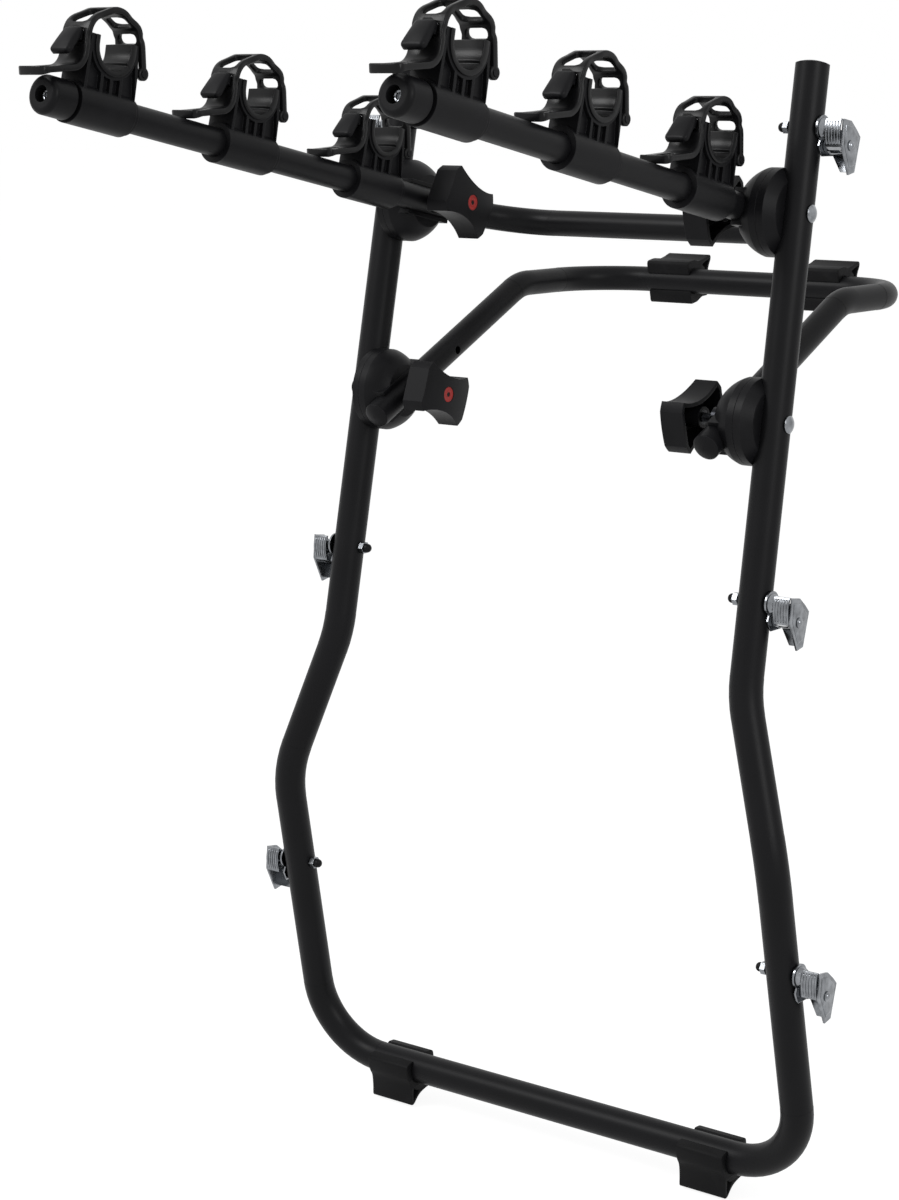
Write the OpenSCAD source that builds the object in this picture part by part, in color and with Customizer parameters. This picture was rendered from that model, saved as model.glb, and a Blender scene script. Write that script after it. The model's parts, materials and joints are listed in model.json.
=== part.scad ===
// Trunk mounted bike rack for three bikes: a bent tube frame that stands on the rear bumper,
// two carrying arms with cradles, a folding stand-off that leans on the hatch, and strap buckles.
// X runs across the vehicle, Y points to the vehicle and Z up. The origin lies between the faces
// of the two lower pads.

/* [Frame tube] */
// Outside diameter of the frame tube
tube_d = 30; // [27:0.5:33]
// Wall of the frame tube
tube_wall = 2; // [1.5:0.1:3]
// Height of the leg tops above the upper hinge
leg_over = 127; // [100:1:160]
// Half spacing of the legs at their tops
top_x = 224; // [215:1:240]
// Setback of the leg tops towards the vehicle
top_y = 66; // [50:1:80]
// Height of the knee bend
knee_z = 446; // [430:1:460]
// Half spacing of the legs at the knee
knee_x = 232; // [222:1:245]
// Place of the knee, in front of the bottom tube when negative
knee_y = -37; // [-45:1:-25]
// Height of the hip bend
hip_z = 303; // [290:1:315]
// Half spacing of the legs at the hip
hip_x = 279; // [265:1:290]
// Place of the hip, in front of the bottom tube when negative
hip_y = -62; // [-70:1:-50]
// Half spacing of the bottom corners
foot_x = 283; // [270:1:300]
// Bend radius at the knee and the hip
leg_bend_r = 120; // [80:5:150]
// Bend radius of the bottom corners
corner_r = 72; // [65:1:110]

/* [Hinge hubs] */
// Height of the upper hinge above the bottom tube
upper_hinge_h = 862; // [845:1:880]
// Height of the lower hinge above the bottom tube
lower_hinge_h = 682; // [665:1:700]
// Diameter of the hub discs
hub_d = 78; // [70:1:86]
// Web between the leg and the toothed face
plate_web = 3.5; // [3:0.1:6]
// How far the leg saddle reaches back over the leg
saddle_depth = 11; // [8:0.5:13]
// Floor of the turning half under its tube
hub_floor = 12; // [10:0.5:15]
// Gap between the two hub halves
hub_gap = 0.4; // [0.3:0.1:1]
// Number of teeth on each hub face
hub_teeth = 24; // [12:1:36]
// Height of the hub teeth
tooth_h = 1.2; // [0.8:0.1:1.6]
// Diameter of the hinge bolts
hinge_bolt_d = 8; // [6:0.5:10]

/* [Arms] */
// Outside diameter of the arm tube
arm_d = 25; // [22:0.5:28]
// Wall of the arm tube
arm_wall = 1.8; // [1.2:0.1:2.5]
// Rise of the arms towards their tips, degrees
arm_tilt = 11.5; // [5:0.5:18]
// Length of the arms in front of the hinge
arm_len = 500; // [495:1:540]
// Distance of the rear crossbar behind the hinge
arm_back = 118; // [112:1:130]
// Bend radius of the arm tube
arm_bend_r = 68; // [55:1:72]
// Distance of the first cradle from the hinge
cradle_start = 90; // [84:1:96]
// Spacing of the cradles along the arm
cradle_pitch = 180; // [165:1:183]

/* [Stand-off] */
// Outside diameter of the stand-off tube
stand_d = 25; // [22:0.5:28]
// Wall of the stand-off tube
stand_wall = 1.8; // [1.2:0.1:2.5]
// Rise of the stand-off legs, degrees
stand_tilt = 26; // [22:0.5:30]
// Height of the crossbar above the lower hinge
stand_rise = 92; // [80:1:100]
// Distance of the crossbar behind the lower hinge
stand_reach = 325; // [310:1:345]
// Length of the stub in front of the lower hinge
stub_len = 46; // [44:1:52]
// Bend radius where the legs level off
stand_bend_r = 60; // [50:1:80]
// Bend radius of the crossbar corners
stand_corner_r = 70; // [55:1:80]
// Distance of the length adjusting hole from the lower hinge
adjust_hole_at = 78; // [70:1:110]
// Diameter of the length adjusting hole
adjust_hole_d = 8; // [6:0.5:9]

/* [Pads] */
// Length of a rubber pad along its tube
pad_len = 50; // [40:1:60]
// Distance from the tube axis to the contact face
pad_reach = 34; // [31:0.5:38]
// Width of the contact face
pad_w = 44; // [40:1:50]
// Rubber thickness
pad_t = 4.5; // [3.5:0.1:5.5]
// Tilt of the lower pads towards the vehicle, degrees
pad_tilt = 8; // [0:1:15]
// Gap between a lower pad and the corner bend
lower_pad_gap = 0.5; // [0.3:0.1:40]
// Gap between an upper pad and the crossbar's bend
upper_pad_gap = 3; // [0.3:0.1:30]
// Tilt of the upper pads' faces upwards, degrees
upper_pad_tilt = 11; // [0:1:15]

/* [Cradles] */
// Length of a cradle's sleeve on the arm
sleeve_len = 68; // [64:1:72]
// Outside diameter of the sleeve
sleeve_d = 36; // [34:0.5:38]
// Width of a cradle across the arm
cradle_w = 28; // [26:0.5:32]
// Height of the cradle towers above the arm axis
tower_h = 57; // [55:0.5:60]
// Height of the bike tube's centre above the arm axis
bike_h = 50; // [48:0.5:52]
// Diameter of the bike tube that fits the liner
bike_d = 38; // [32:0.5:40]
// Rubber liner thickness
liner_t = 4; // [3:0.25:5]
// Moulded wall of a cradle's edges and ribs
rib_t = 3; // [2:0.25:4]

/* [Ladder straps] */
// Width of a ladder strap
strap_w = 29; // [27:0.5:32]
// Thickness of a ladder strap
strap_t = 4.5; // [3.5:0.1:5]
// Width of each strap rail
rail_w = 4.5; // [3.5:0.1:5]
// Height of the strap's arch above the arm axis
arch_h = 80.5; // [78:0.5:86]
// Length of the pull tab
tab_len = 46; // [40:1:50]
// Width of the finger hole in the tab
finger_d = 11; // [9:0.5:13]
// Length of the finger hole along the tab
finger_len = 21; // [16:0.5:23]
// Thickness of the tab at its tip
grip_t = 6.5; // [5:0.25:8]

/* [Knobs] */
// Radius of the knob lobes
knob_r = 37; // [30:0.5:39]
// Depth of the knob
knob_h = 27; // [24:0.5:32]
// Least radius between the lobes
knob_waist = 17; // [15:0.5:20]
// Wall of the hollow knob
knob_wall = 3.5; // [2.5:0.1:4.5]
// Bare bolt between washer and knob
knob_gap = 13; // [8:0.5:16]
// Diameter of the bare recess in the knob's face
knob_inset_d = 15; // [10:0.5:18]

/* [Strap buckles] */
// Distance of the upper buckles' bolts below the leg tops
upper_buckle_drop = 54; // [45:1:62]
// Height of the middle buckles' bolts above the bottom tube
middle_buckle_h = 529; // [510:1:545]
// Height of the lower buckles' bolts
lower_buckle_h = 206; // [190:1:220]
// Distance between the buckle's ears
buckle_w = 21; // [19:0.5:25]
// Sheet thickness of the buckle
sheet_t = 1.8; // [1.2:0.1:2.2]
// Diameter of the buckle bolts
buckle_bolt_d = 6; // [5:0.5:7]
// Diameter of the cam pin
cam_pin_d = 5; // [4:0.25:6]
// Wire of the cam spring
spring_wire = 1.2; // [0.8:0.1:1.4]
// Turns of the cam spring
spring_turns = 4; // [3:1:5]

/* [Hidden] */
$fn = 64;
// Clearance of pieces that are fixed together
fit = 0.1;
// Running clearance of bores on their bolts and pins
run = 0.06;
// Small step by which cuts run past a face
past = 1;

sides = [-1, 1];

function unit(v) = v / norm(v);
function flip(p) = [-p.x, p.y, p.z];
function mix(p, q, t) = p + (q - p) * t;
// Place on a leg line at a given height
function on_line(p, q, h) = mix(p, q, (h - p.z) / (q.z - p.z));

// Frame of the bottom tube, so that the lower pads' faces meet the origin
foot = [foot_x, -pad_reach * sin(pad_tilt), pad_reach * cos(pad_tilt)];
base = [0, foot.y, foot.z];
frame_h = upper_hinge_h + leg_over;
upper_buckle_h = frame_h - upper_buckle_drop;
leg_top = base + [top_x, top_y, frame_h];
knee = base + [knee_x, knee_y, knee_z];
hip = base + [hip_x, hip_y, hip_z];
frame_path = [leg_top, knee, hip, foot, flip(foot), flip(hip), flip(knee), flip(leg_top)];
frame_radii = [leg_bend_r, leg_bend_r, corner_r, corner_r, leg_bend_r, leg_bend_r];

function leg_at(h) = h >= knee_z ? on_line(leg_top, knee, h + foot.z)
    : h >= hip_z ? on_line(knee, hip, h + foot.z) : on_line(hip, foot, h + foot.z);

// Hinge stack, measured inwards from the leg's axis
hub_face = tube_d / 2 + plate_web;
hub_r = hub_d / 2;
arm_stack = hub_face + hub_gap + hub_floor + arm_d / 2;
stand_stack = hub_face + hub_gap + hub_floor + stand_d / 2;
washer_t = 3;
washer_r = 11;
upper_hinge = leg_at(upper_hinge_h);
lower_hinge = leg_at(lower_hinge_h);
bolt_hole_d = hinge_bolt_d + 2 * run;

// Arm line: forward direction and the tube's corner points
arm_fwd = [0, -cos(arm_tilt), sin(arm_tilt)];
arm_hinge = [upper_hinge.x - arm_stack, upper_hinge.y, upper_hinge.z];
arm_tip = arm_hinge + arm_fwd * arm_len;
arm_corner = arm_hinge - arm_fwd * arm_back;
arm_path = [arm_tip, arm_corner, flip(arm_corner), flip(arm_tip)];
arm_radii = [arm_bend_r, arm_bend_r];

// Stand-off line: rising legs, level run and crossbar
stand_dir = [0, cos(stand_tilt), sin(stand_tilt)];
stand_hinge = [lower_hinge.x - stand_stack, lower_hinge.y, lower_hinge.z];
stub_end = stand_hinge - stand_dir * stub_len;
stand_bend = stand_hinge + stand_dir * stand_rise / sin(stand_tilt);
stand_corner = [stand_hinge.x, stand_hinge.y + stand_reach, stand_bend.z];
stand_path = [stub_end, stand_bend, stand_corner, flip(stand_corner), flip(stand_bend), flip(stub_end)];
stand_radii = [stand_bend_r, stand_corner_r, stand_corner_r, stand_bend_r];
adjust_hole = stand_hinge + stand_dir * adjust_hole_at;

// Matrix that puts an x, y, z frame at a point
function place(o, x, y, z) = [[x.x, y.x, z.x, o.x], [x.y, y.y, z.y, o.y], [x.z, y.z, z.z, o.z], [0, 0, 0, 1]];
function any_side(z) = unit(cross(abs(z.x) < 0.9 ? [1, 0, 0] : [0, 0, 1], z));
function aim(o, d) = let(z = unit(d), x = any_side(z)) place(o, x, cross(z, x), z);

// Bend at corner c between p and n: turning angle and tangent length
function turn(p, c, n) = acos(unit(c - p) * unit(n - c));
function tangent(p, c, n, r) = r * tan(turn(p, c, n) / 2);

module rod(p, q, r)
    multmatrix(aim(p, q - p))
        cylinder(r = r, h = norm(q - p));

// Bends swell a little over the straight runs, which reach into them by a short lap
bend_swell = 0.12;
bend_lap = 0.5;

module bend(p, c, n, bend_r, r) {
    u = unit(c - p);
    w = unit(n - c);
    m = unit(w - u * (u * w));
    s = c - u * tangent(p, c, n, bend_r);
    multmatrix(place(s + m * bend_r, -m, u, cross(-m, u)))
        rotate_extrude(angle = turn(p, c, n))
            translate([bend_r, 0])
                circle(r = r + bend_swell);
}

// Round bar along a path of corner points, one bend radius per inner corner
module bent_bar(pts, radii, r, over) {
    last = len(pts) - 1;
    cut = [for (i = [0 : last]) i == 0 || i == last ? -over
        : tangent(pts[i - 1], pts[i], pts[i + 1], radii[i - 1]) - bend_lap];
    for (i = [0 : last - 1]) {
        d = unit(pts[i + 1] - pts[i]);
        rod(pts[i] + d * cut[i], pts[i + 1] - d * cut[i + 1], r);
    }
    for (i = [1 : last - 1])
        bend(pts[i - 1], pts[i], pts[i + 1], radii[i - 1], r);
}

module bent_tube(pts, radii, d, wall)
    difference() {
        bent_bar(pts, radii, d / 2, 0);
        bent_bar(pts, radii, d / 2 - wall, past);
    }

// Child drawn in the Y-Z plane and drawn out along X from x0
module slab(x0, w)
    translate([x0, 0, 0])
        rotate([90, 0, 90])
            linear_extrude(w)
                children();

module both_sides()
    for (s = [0, 1])
        mirror([s, 0, 0])
            children();

module on_side(side)
    mirror([side < 0 ? 1 : 0, 0, 0])
        children();

// Bar across X through a point, long enough for one leg and its hub
module cross_hole(p, d, w)
    translate([p.x - w / 2, p.y, p.z])
        rotate([0, 90, 0])
            cylinder(d = d, h = w);

// Main frame and its plugs

buckle_heights = [upper_buckle_h, middle_buckle_h, lower_buckle_h];
plug_len = 16;
plug_head = 3;

module main_frame()
    color("#1b1c1e")
        difference() {
            bent_tube(frame_path, frame_radii, tube_d, tube_wall);
            both_sides() {
                cross_hole(upper_hinge, hinge_bolt_d + 2 * fit, tube_d + 2 * past);
                cross_hole(lower_hinge, hinge_bolt_d + 2 * fit, tube_d + 2 * past);
                for (h = buckle_heights)
                    cross_hole(leg_at(h), buckle_bolt_d + 2 * fit, tube_d + 2 * past);
            }
        }

// Domed plug on a tube end, standing on the plane z = 0 with its shank below
module tube_plug(d, wall) {
    dome_r = (d * d / 4 + plug_head * plug_head) / (2 * plug_head);
    translate([0, 0, fit])
        intersection() {
            cylinder(d = d, h = plug_head);
            translate([0, 0, plug_head - dome_r])
                sphere(r = dome_r);
        }
    translate([0, 0, -plug_len])
        cylinder(d = d - 2 * wall - 2 * fit, h = plug_len + past);
}

module frame_end_caps()
    color("#151617")
        both_sides()
            multmatrix(aim(leg_top, leg_top - knee))
                tube_plug(tube_d, tube_wall);

// Clip-on pads: a block with the tube's bore open in front and two chambers behind it

pad_mouth = 42;
pad_web = 4;
pad_bevel = 2.5;
lower_pad_x = foot_x - tangent(hip, foot, flip(foot), corner_r) - lower_pad_gap - pad_len / 2;
upper_pad_x = stand_corner.x - stand_corner_r - upper_pad_gap - pad_len / 2;

module pad_profile(r) {
    inner = r + fit;
    half = pad_w / 2;
    brow = inner * cos(pad_mouth);
    jaw = inner * sin(pad_mouth);
    chamber_w = half - pad_t - pad_web / 2;
    difference() {
        polygon([[half - pad_bevel, brow], [half, brow - pad_bevel], [half, pad_bevel - pad_reach],
            [half - pad_bevel, -pad_reach], [pad_bevel - half, -pad_reach], [-half, pad_bevel - pad_reach],
            [-half, brow - pad_bevel], [pad_bevel - half, brow]]);
        circle(r = inner);
        translate([-jaw, 0])
            square([2 * jaw, 2 * inner]);
        difference() {
            for (s = sides)
                translate([s * (pad_web + chamber_w) / 2, (pad_t - pad_reach - inner / 2) / 2])
                    square([chamber_w, pad_reach - pad_t - inner / 2], center = true);
            circle(r = inner + pad_t);
        }
    }
}

module lower_pads()
    color("#161617")
        both_sides()
            translate([lower_pad_x, base.y, base.z])
                rotate([pad_tilt, 0, 0])
                    slab(-pad_len / 2, pad_len)
                        pad_profile(tube_d / 2);

module upper_pads()
    color("#161617")
        both_sides()
            translate([upper_pad_x, stand_corner.y, stand_corner.z])
                rotate([90 + upper_pad_tilt, 0, 0])
                    slab(-pad_len / 2, pad_len)
                        pad_profile(stand_d / 2);

// Hinge hubs: local z runs inwards from the leg's axis, local x up

hub_rim = 7;
hub_taper = 10;
dome_top_r = 25;
lip_over = 3;
lip_w = 4;
// How far the lips stand above the dome, and how much they nip the tube
lip_step = 0.6;
lip_nip = 0.08;
tooth_in = 0.56 * hub_r;
tooth_out = 0.84 * hub_r;
tooth_base = 0.7 * 2 * PI * tooth_in / hub_teeth;
tooth_sink = 0.1;

module at_hinge(p)
    translate(p)
        rotate([0, -90, 0])
            children();

// Ring that is cut from a hub face for its teeth; the face is z = 0 and the body lies below
module tooth_recess()
    translate([0, 0, -tooth_h - tooth_sink])
        difference() {
            cylinder(r = tooth_out, h = tooth_h + tooth_sink + past);
            translate([0, 0, -past])
                cylinder(r = tooth_in, h = tooth_h + tooth_sink + 3 * past);
        }

module teeth_ring()
    for (i = [0 : hub_teeth - 1])
        rotate([0, 0, 360 / hub_teeth * i])
            translate([tooth_in - past, 0, -tooth_h - tooth_sink])
                rotate([90, 0, 90])
                    linear_extrude(tooth_out - tooth_in + 2 * past)
                        polygon([[-tooth_base / 2, -tooth_sink], [tooth_base / 2, -tooth_sink], [tooth_base / 2, 0],
                            [tooth_base / 8, tooth_h], [-tooth_base / 8, tooth_h], [-tooth_base / 2, 0]]);

module hub_plate(p, side) {
    back = tube_d / 2 - saddle_depth;
    color("#202123")
        on_side(side)
            difference() {
                at_hinge(p) {
                    difference() {
                        union() {
                            translate([0, 0, hub_face - hub_rim])
                                cylinder(r = hub_r, h = hub_rim);
                            translate([0, 0, back])
                                cylinder(r1 = hub_r - hub_taper, r2 = hub_r, h = hub_face - hub_rim - back);
                        }
                        translate([0, 0, hub_face])
                            tooth_recess();
                    }
                    translate([0, 0, hub_face])
                        teeth_ring();
                }
                rod(leg_top, knee, tube_d / 2 + fit);
                cross_hole(p, hinge_bolt_d + 2 * fit, 3 * hub_face);
            }
}

// Turning half: rim, dome and a lipped channel for the tube at the given angle about local z
module turning_half(p, stack, d, angle, side) {
    low = hub_face + hub_gap;
    rim_top = low + hub_rim;
    top = stack + lip_over;
    dome = top - lip_step;
    dome_c = (dome * dome - rim_top * rim_top - hub_r * hub_r + dome_top_r * dome_top_r) / (2 * (dome - rim_top));
    dome_r = norm([hub_r, rim_top - dome_c]);
    color("#202123")
        on_side(side)
            at_hinge(p)
                difference() {
                    union() {
                        difference() {
                            union() {
                                intersection() {
                                    translate([0, 0, low])
                                        cylinder(r = hub_r, h = dome - low);
                                    translate([0, 0, dome_c])
                                        sphere(r = dome_r);
                                }
                                rotate([0, 0, angle])
                                    translate([-0.8 * hub_r, -d / 2 - lip_w, rim_top])
                                        cube([1.6 * hub_r, d + 2 * lip_w, top - rim_top]);
                            }
                            translate([0, 0, low])
                                mirror([0, 0, 1])
                                    tooth_recess();
                        }
                        translate([0, 0, low])
                            mirror([0, 0, 1])
                                teeth_ring();
                    }
                    rotate([0, 0, angle])
                        translate([-2 * hub_r, 0, stack])
                            rotate([0, 90, 0])
                                cylinder(r = d / 2 + fit, h = 4 * hub_r);
                    rotate([0, 0, angle])
                        translate([-2 * hub_r, lip_nip - d / 2 - fit, stack])
                            cube([4 * hub_r, d + 2 * fit - 2 * lip_nip, 2 * lip_over]);
                    cylinder(d = bolt_hole_d, h = 2 * stack);
                }
}

arm_angle = atan2(-cos(arm_tilt), sin(arm_tilt));
stand_angle = atan2(cos(stand_tilt), sin(stand_tilt));

module arm_hub(side)
    turning_half(upper_hinge, arm_stack, arm_d, arm_angle, side);

module stand_hub(side)
    turning_half(lower_hinge, stand_stack, stand_d, stand_angle, side);

// Saddle washers between the tubes and the knobs
module saddle_washers(p, stack, d, angle)
    color("#b9bcc0")
        both_sides()
            at_hinge(p)
                difference() {
                    translate([0, 0, stack + 0.7 * d / 2])
                        cylinder(r = washer_r, h = 0.3 * d / 2 + washer_t);
                    rotate([0, 0, angle])
                        translate([-2 * washer_r, 0, stack])
                            rotate([0, 90, 0])
                                cylinder(r = d / 2 + fit, h = 4 * washer_r);
                    cylinder(d = bolt_hole_d, h = 2 * stack);
                }

module arm_washers()
    saddle_washers(upper_hinge, arm_stack, arm_d, arm_angle);

module stand_washers()
    saddle_washers(lower_hinge, stand_stack, stand_d, stand_angle);

// Hinge bolts, thin domed head on the leg's outer side
bolt_head_r = 8;
bolt_head_h = 3;
bolt_in_knob = 20;
seat_gap = 0.4;

module hinge_bolt(p, stack, d) {
    head_r = (bolt_head_r * bolt_head_r + bolt_head_h * bolt_head_h) / (2 * bolt_head_h);
    under = -tube_d / 2 - seat_gap;
    at_hinge(p) {
        intersection() {
            translate([0, 0, under - bolt_head_h])
                cylinder(r = bolt_head_r, h = bolt_head_h);
            translate([0, 0, under - bolt_head_h + head_r])
                sphere(r = head_r);
        }
        translate([0, 0, under - past])
            cylinder(d = hinge_bolt_d, h = stack + d / 2 + washer_t + knob_gap + bolt_in_knob - under + past);
    }
}

module hinge_bolts()
    color("#c4c7cb")
        both_sides() {
            hinge_bolt(upper_hinge, arm_stack, arm_d);
            hinge_bolt(lower_hinge, stand_stack, stand_d);
        }

// Knobs: two lobes, hollow underside, middle boss with a threaded insert

flank_r = 60;
lobe_end = 0.9;
knob_roof = 4;
knob_dome = 4;
insert_r = 6.5;
insert_h = 17;
boss_r = insert_r + 3;
inset_depth = 0.8;

module knob_outline(less)
    difference() {
        intersection() {
            circle(r = knob_r - less);
            square([2 * (lobe_end * knob_r - less), 2 * knob_r], center = true);
        }
        for (s = sides)
            translate([0, s * (knob_waist + flank_r)])
                circle(r = flank_r + less);
    }

module at_knob(p, stack, d, side, lobe)
    on_side(side)
        at_hinge(p)
            translate([0, 0, stack + d / 2 + washer_t + knob_gap])
                rotate([0, 0, 90 - lobe])
                    children();

module knob(p, stack, d, side, lobe) {
    dome_r = (knob_r * knob_r + knob_dome * knob_dome) / (2 * knob_dome);
    color("#232427")
        at_knob(p, stack, d, side, lobe)
            difference() {
                union() {
                    difference() {
                        intersection() {
                            linear_extrude(knob_h)
                                knob_outline(0);
                            translate([0, 0, knob_h - dome_r])
                                sphere(r = dome_r);
                        }
                        translate([0, 0, -past])
                            linear_extrude(knob_h - knob_roof - knob_dome + past)
                                knob_outline(knob_wall);
                    }
                    cylinder(r = boss_r, h = knob_h - knob_dome);
                }
                translate([0, 0, -past])
                    cylinder(r = insert_r + fit, h = insert_h + past + fit);
                cylinder(d = hinge_bolt_d + 2, h = bolt_in_knob + past);
                translate([0, 0, knob_h - inset_depth])
                    cylinder(d = knob_inset_d, h = 2 * inset_depth);
            }
}

module insert(p, stack, d, side, lobe)
    color("#c4c7cb")
        at_knob(p, stack, d, side, lobe)
            difference() {
                cylinder(r = insert_r, h = insert_h);
                translate([0, 0, -past])
                    cylinder(d = hinge_bolt_d + 2 * run, h = insert_h + 2 * past);
            }

// Arm tube with its caps and screws

module arm_tube()
    color("#1b1c1e")
        difference() {
            bent_tube(arm_path, arm_radii, arm_d, arm_wall);
            both_sides()
                cross_hole(arm_hinge, bolt_hole_d, arm_d + 2 * past);
        }

cap_r = 16.5;
cap_over = 13;
cap_out = 13;
cap_edge = 5;
cap_web = 4;
screw_r = 2.4;
screw_head_r = 5;
screw_head_h = 3;

module at_tips()
    both_sides()
        multmatrix(aim(arm_tip, arm_fwd))
            children();

module arm_end_caps()
    color("#202123")
        at_tips()
            difference() {
                translate([0, 0, -cap_over])
                    rotate_extrude() {
                        square([cap_r, cap_over + cap_out - cap_edge]);
                        square([cap_r - cap_edge, cap_over + cap_out]);
                        translate([cap_r - cap_edge, cap_over + cap_out - cap_edge])
                            circle(r = cap_edge);
                    }
                translate([0, 0, -cap_over - past])
                    cylinder(d = arm_d + 2 * fit, h = cap_over + past + fit);
                translate([0, 0, cap_web])
                    cylinder(r = screw_head_r + 2, h = cap_out);
                cylinder(r = screw_r + fit, h = cap_out);
            }

module cap_screws()
    color("#c4c7cb")
        at_tips() {
            translate([0, 0, cap_web + fit])
                cylinder(r = screw_head_r, h = screw_head_h);
            translate([0, 0, -cap_over])
                cylinder(r = screw_r, h = cap_over + cap_web + screw_head_h);
        }

// Stand-off tube with its plugs

module stand_tube()
    color("#1b1c1e")
        difference() {
            bent_tube(stand_path, stand_radii, stand_d, stand_wall);
            both_sides() {
                cross_hole(stand_hinge, bolt_hole_d, stand_d + 2 * past);
                cross_hole(adjust_hole, adjust_hole_d, stand_d + 2 * past);
            }
        }

module stand_plugs()
    color("#151617")
        both_sides()
            multmatrix(aim(stub_end, -stand_dir))
                tube_plug(stand_d, stand_wall);

// Cradles: local y runs back along the arm, z up from the arm's axis

sleeve_r = sleeve_d / 2;
channel_r = bike_d / 2 + liner_t + fit;
front_foot = 3 - sleeve_len / 2;
rear_foot = sleeve_len / 2 - 1;
front_wall = 4.5;
rear_wall = 2.9;
front_top = -channel_r - front_wall;
rear_top = channel_r + rear_wall;
tower_foot = 4;
web_half = cradle_w / 2 - 4;
hook_half = strap_w / 2 - rail_w - 1;
hook_gap = strap_t + 1.4;
hook_high = [front_top - hook_gap, tower_h + 0.5];
hook_low = hook_high - [13, 20];
peg = [rear_foot + 2.5, tower_h - 21];
peg_r = 3;
eye_r = 5.6;
lug_half = 5;

module at_cradle(side, i)
    on_side(side)
        translate(arm_hinge + arm_fwd * (cradle_start + cradle_pitch * (i - 1)))
            rotate([-arm_tilt, 0, 0])
                children();

module channel_cut(r)
    translate([0, bike_h]) {
        circle(r = r);
        translate([-r, 0])
            square([2 * r, 2 * tower_h]);
    }

module tower_outline()
    polygon([[front_foot, tower_foot], [front_top, tower_h], [rear_top, tower_h], [rear_foot, tower_foot]]);

module edge_ribs() {
    polygon([[front_foot, tower_foot], [front_top, tower_h], [front_top + rib_t, tower_h],
        [front_foot + rib_t, tower_foot]]);
    polygon([[rear_foot, tower_foot], [rear_top, tower_h], [rear_top - rib_t, tower_h],
        [rear_foot - rib_t, tower_foot]]);
}

// Side ribs and the band under the liner, cut to the towers' outline
module side_ribs()
    intersection() {
        tower_outline();
        union() {
            translate([0, bike_h])
                circle(r = channel_r + rib_t);
            for (k = [-1 : 1])
                translate([11 * k - rib_t / 2, 0])
                    square([rib_t, bike_h]);
        }
    }

module hook() {
    polygon([hook_high, hook_low, hook_low - [rib_t, -1], hook_high - [rib_t, -1]]);
    polygon([[front_top + 1, tower_h - 8], [front_top + 1, tower_h], hook_high - [1, 0], hook_high - [2, 8]]);
}

module cradle(side, i)
    color("#1d1e20")
        at_cradle(side, i) {
            difference() {
                union() {
                    rotate([90, 0, 0])
                        translate([0, 0, -sleeve_len / 2])
                            cylinder(r = sleeve_r, h = sleeve_len);
                    difference() {
                        union() {
                            slab(-web_half, 2 * web_half)
                                tower_outline();
                            slab(-cradle_w / 2, cradle_w) {
                                edge_ribs();
                                side_ribs();
                            }
                        }
                        slab(-cradle_w, 2 * cradle_w)
                            channel_cut(channel_r);
                    }
                }
                rotate([90, 0, 0])
                    cylinder(r = arm_d / 2 + fit, h = 2 * sleeve_len, center = true);
                rotate([90, 0, 0])
                    translate([0, 0, -sleeve_len / 2 - past])
                        difference() {
                            cylinder(r = 2 * sleeve_r, h = 5 + past);
                            cylinder(r = sleeve_r - 2, h = 5 + 2 * past);
                        }
            }
            slab(-hook_half, 2 * hook_half)
                hook();
            slab(-lug_half, 2 * lug_half)
                polygon([[rear_top - 1, peg[1] - peg_r], [rear_top - 1, peg[1] + 2 * peg_r],
                    peg + [peg_r, peg_r], peg + [peg_r, -peg_r]]);
            slab(-strap_w / 2 - 1, strap_w + 2)
                translate(peg)
                    circle(r = peg_r);
        }

module liner(side, i)
    color("#131314")
        at_cradle(side, i)
            slab(-cradle_w / 2, cradle_w)
                difference() {
                    intersection() {
                        channel_cut(channel_r - fit);
                        translate([-channel_r, 0])
                            square([2 * channel_r, tower_h]);
                    }
                    channel_cut(bike_d / 2);
                }

module liners(side)
    for (i = [1 : 3])
        liner(side, i);

// Ladder straps: from the rear peg over the arch, behind the hook and out into the pull tab

strap_gap = 0.5;
strap_front = front_top - strap_gap - strap_t / 2;
crown = 4.5;
strap_pts = [peg, [rear_top + 4.3, tower_h + 1], [rear_top - 2, (tower_h + arch_h + 5) / 2], [crown, arch_h],
    [-crown, arch_h], [strap_front, tower_h + 10], [strap_front - 2, tower_h - 29.5],
    [strap_front - 2 - tab_len, tower_h - 41.5]];
strap_radii = [12, 8, 14, 14, 12, 16];
rung = 6;

function heading(p, q) = atan2(q[1] - p[1], q[0] - p[0]);
function bent(i) = let(a = heading(strap_pts[i], strap_pts[i + 1]) - heading(strap_pts[i - 1], strap_pts[i]))
    a > 180 ? a - 360 : a < -180 ? a + 360 : a;
strap_last = len(strap_pts) - 1;
strap_cut = [for (i = [0 : strap_last]) i == 0 || i == strap_last ? 0 : strap_radii[i - 1] * tan(abs(bent(i)) / 2)];

// Flat piece i of the strap, from cut to cut, less a margin at each end; local y is the thickness
module strap_piece(i, w, t, margin_a, margin_b) {
    p = strap_pts[i];
    q = strap_pts[i + 1];
    run_len = norm(q - p) - strap_cut[i] - strap_cut[i + 1];
    translate([0, p[0], p[1]])
        rotate([heading(p, q), 0, 0])
            translate([-w / 2, strap_cut[i] + margin_a, -t / 2])
                cube([w, run_len - margin_a - margin_b, t]);
}

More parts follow.
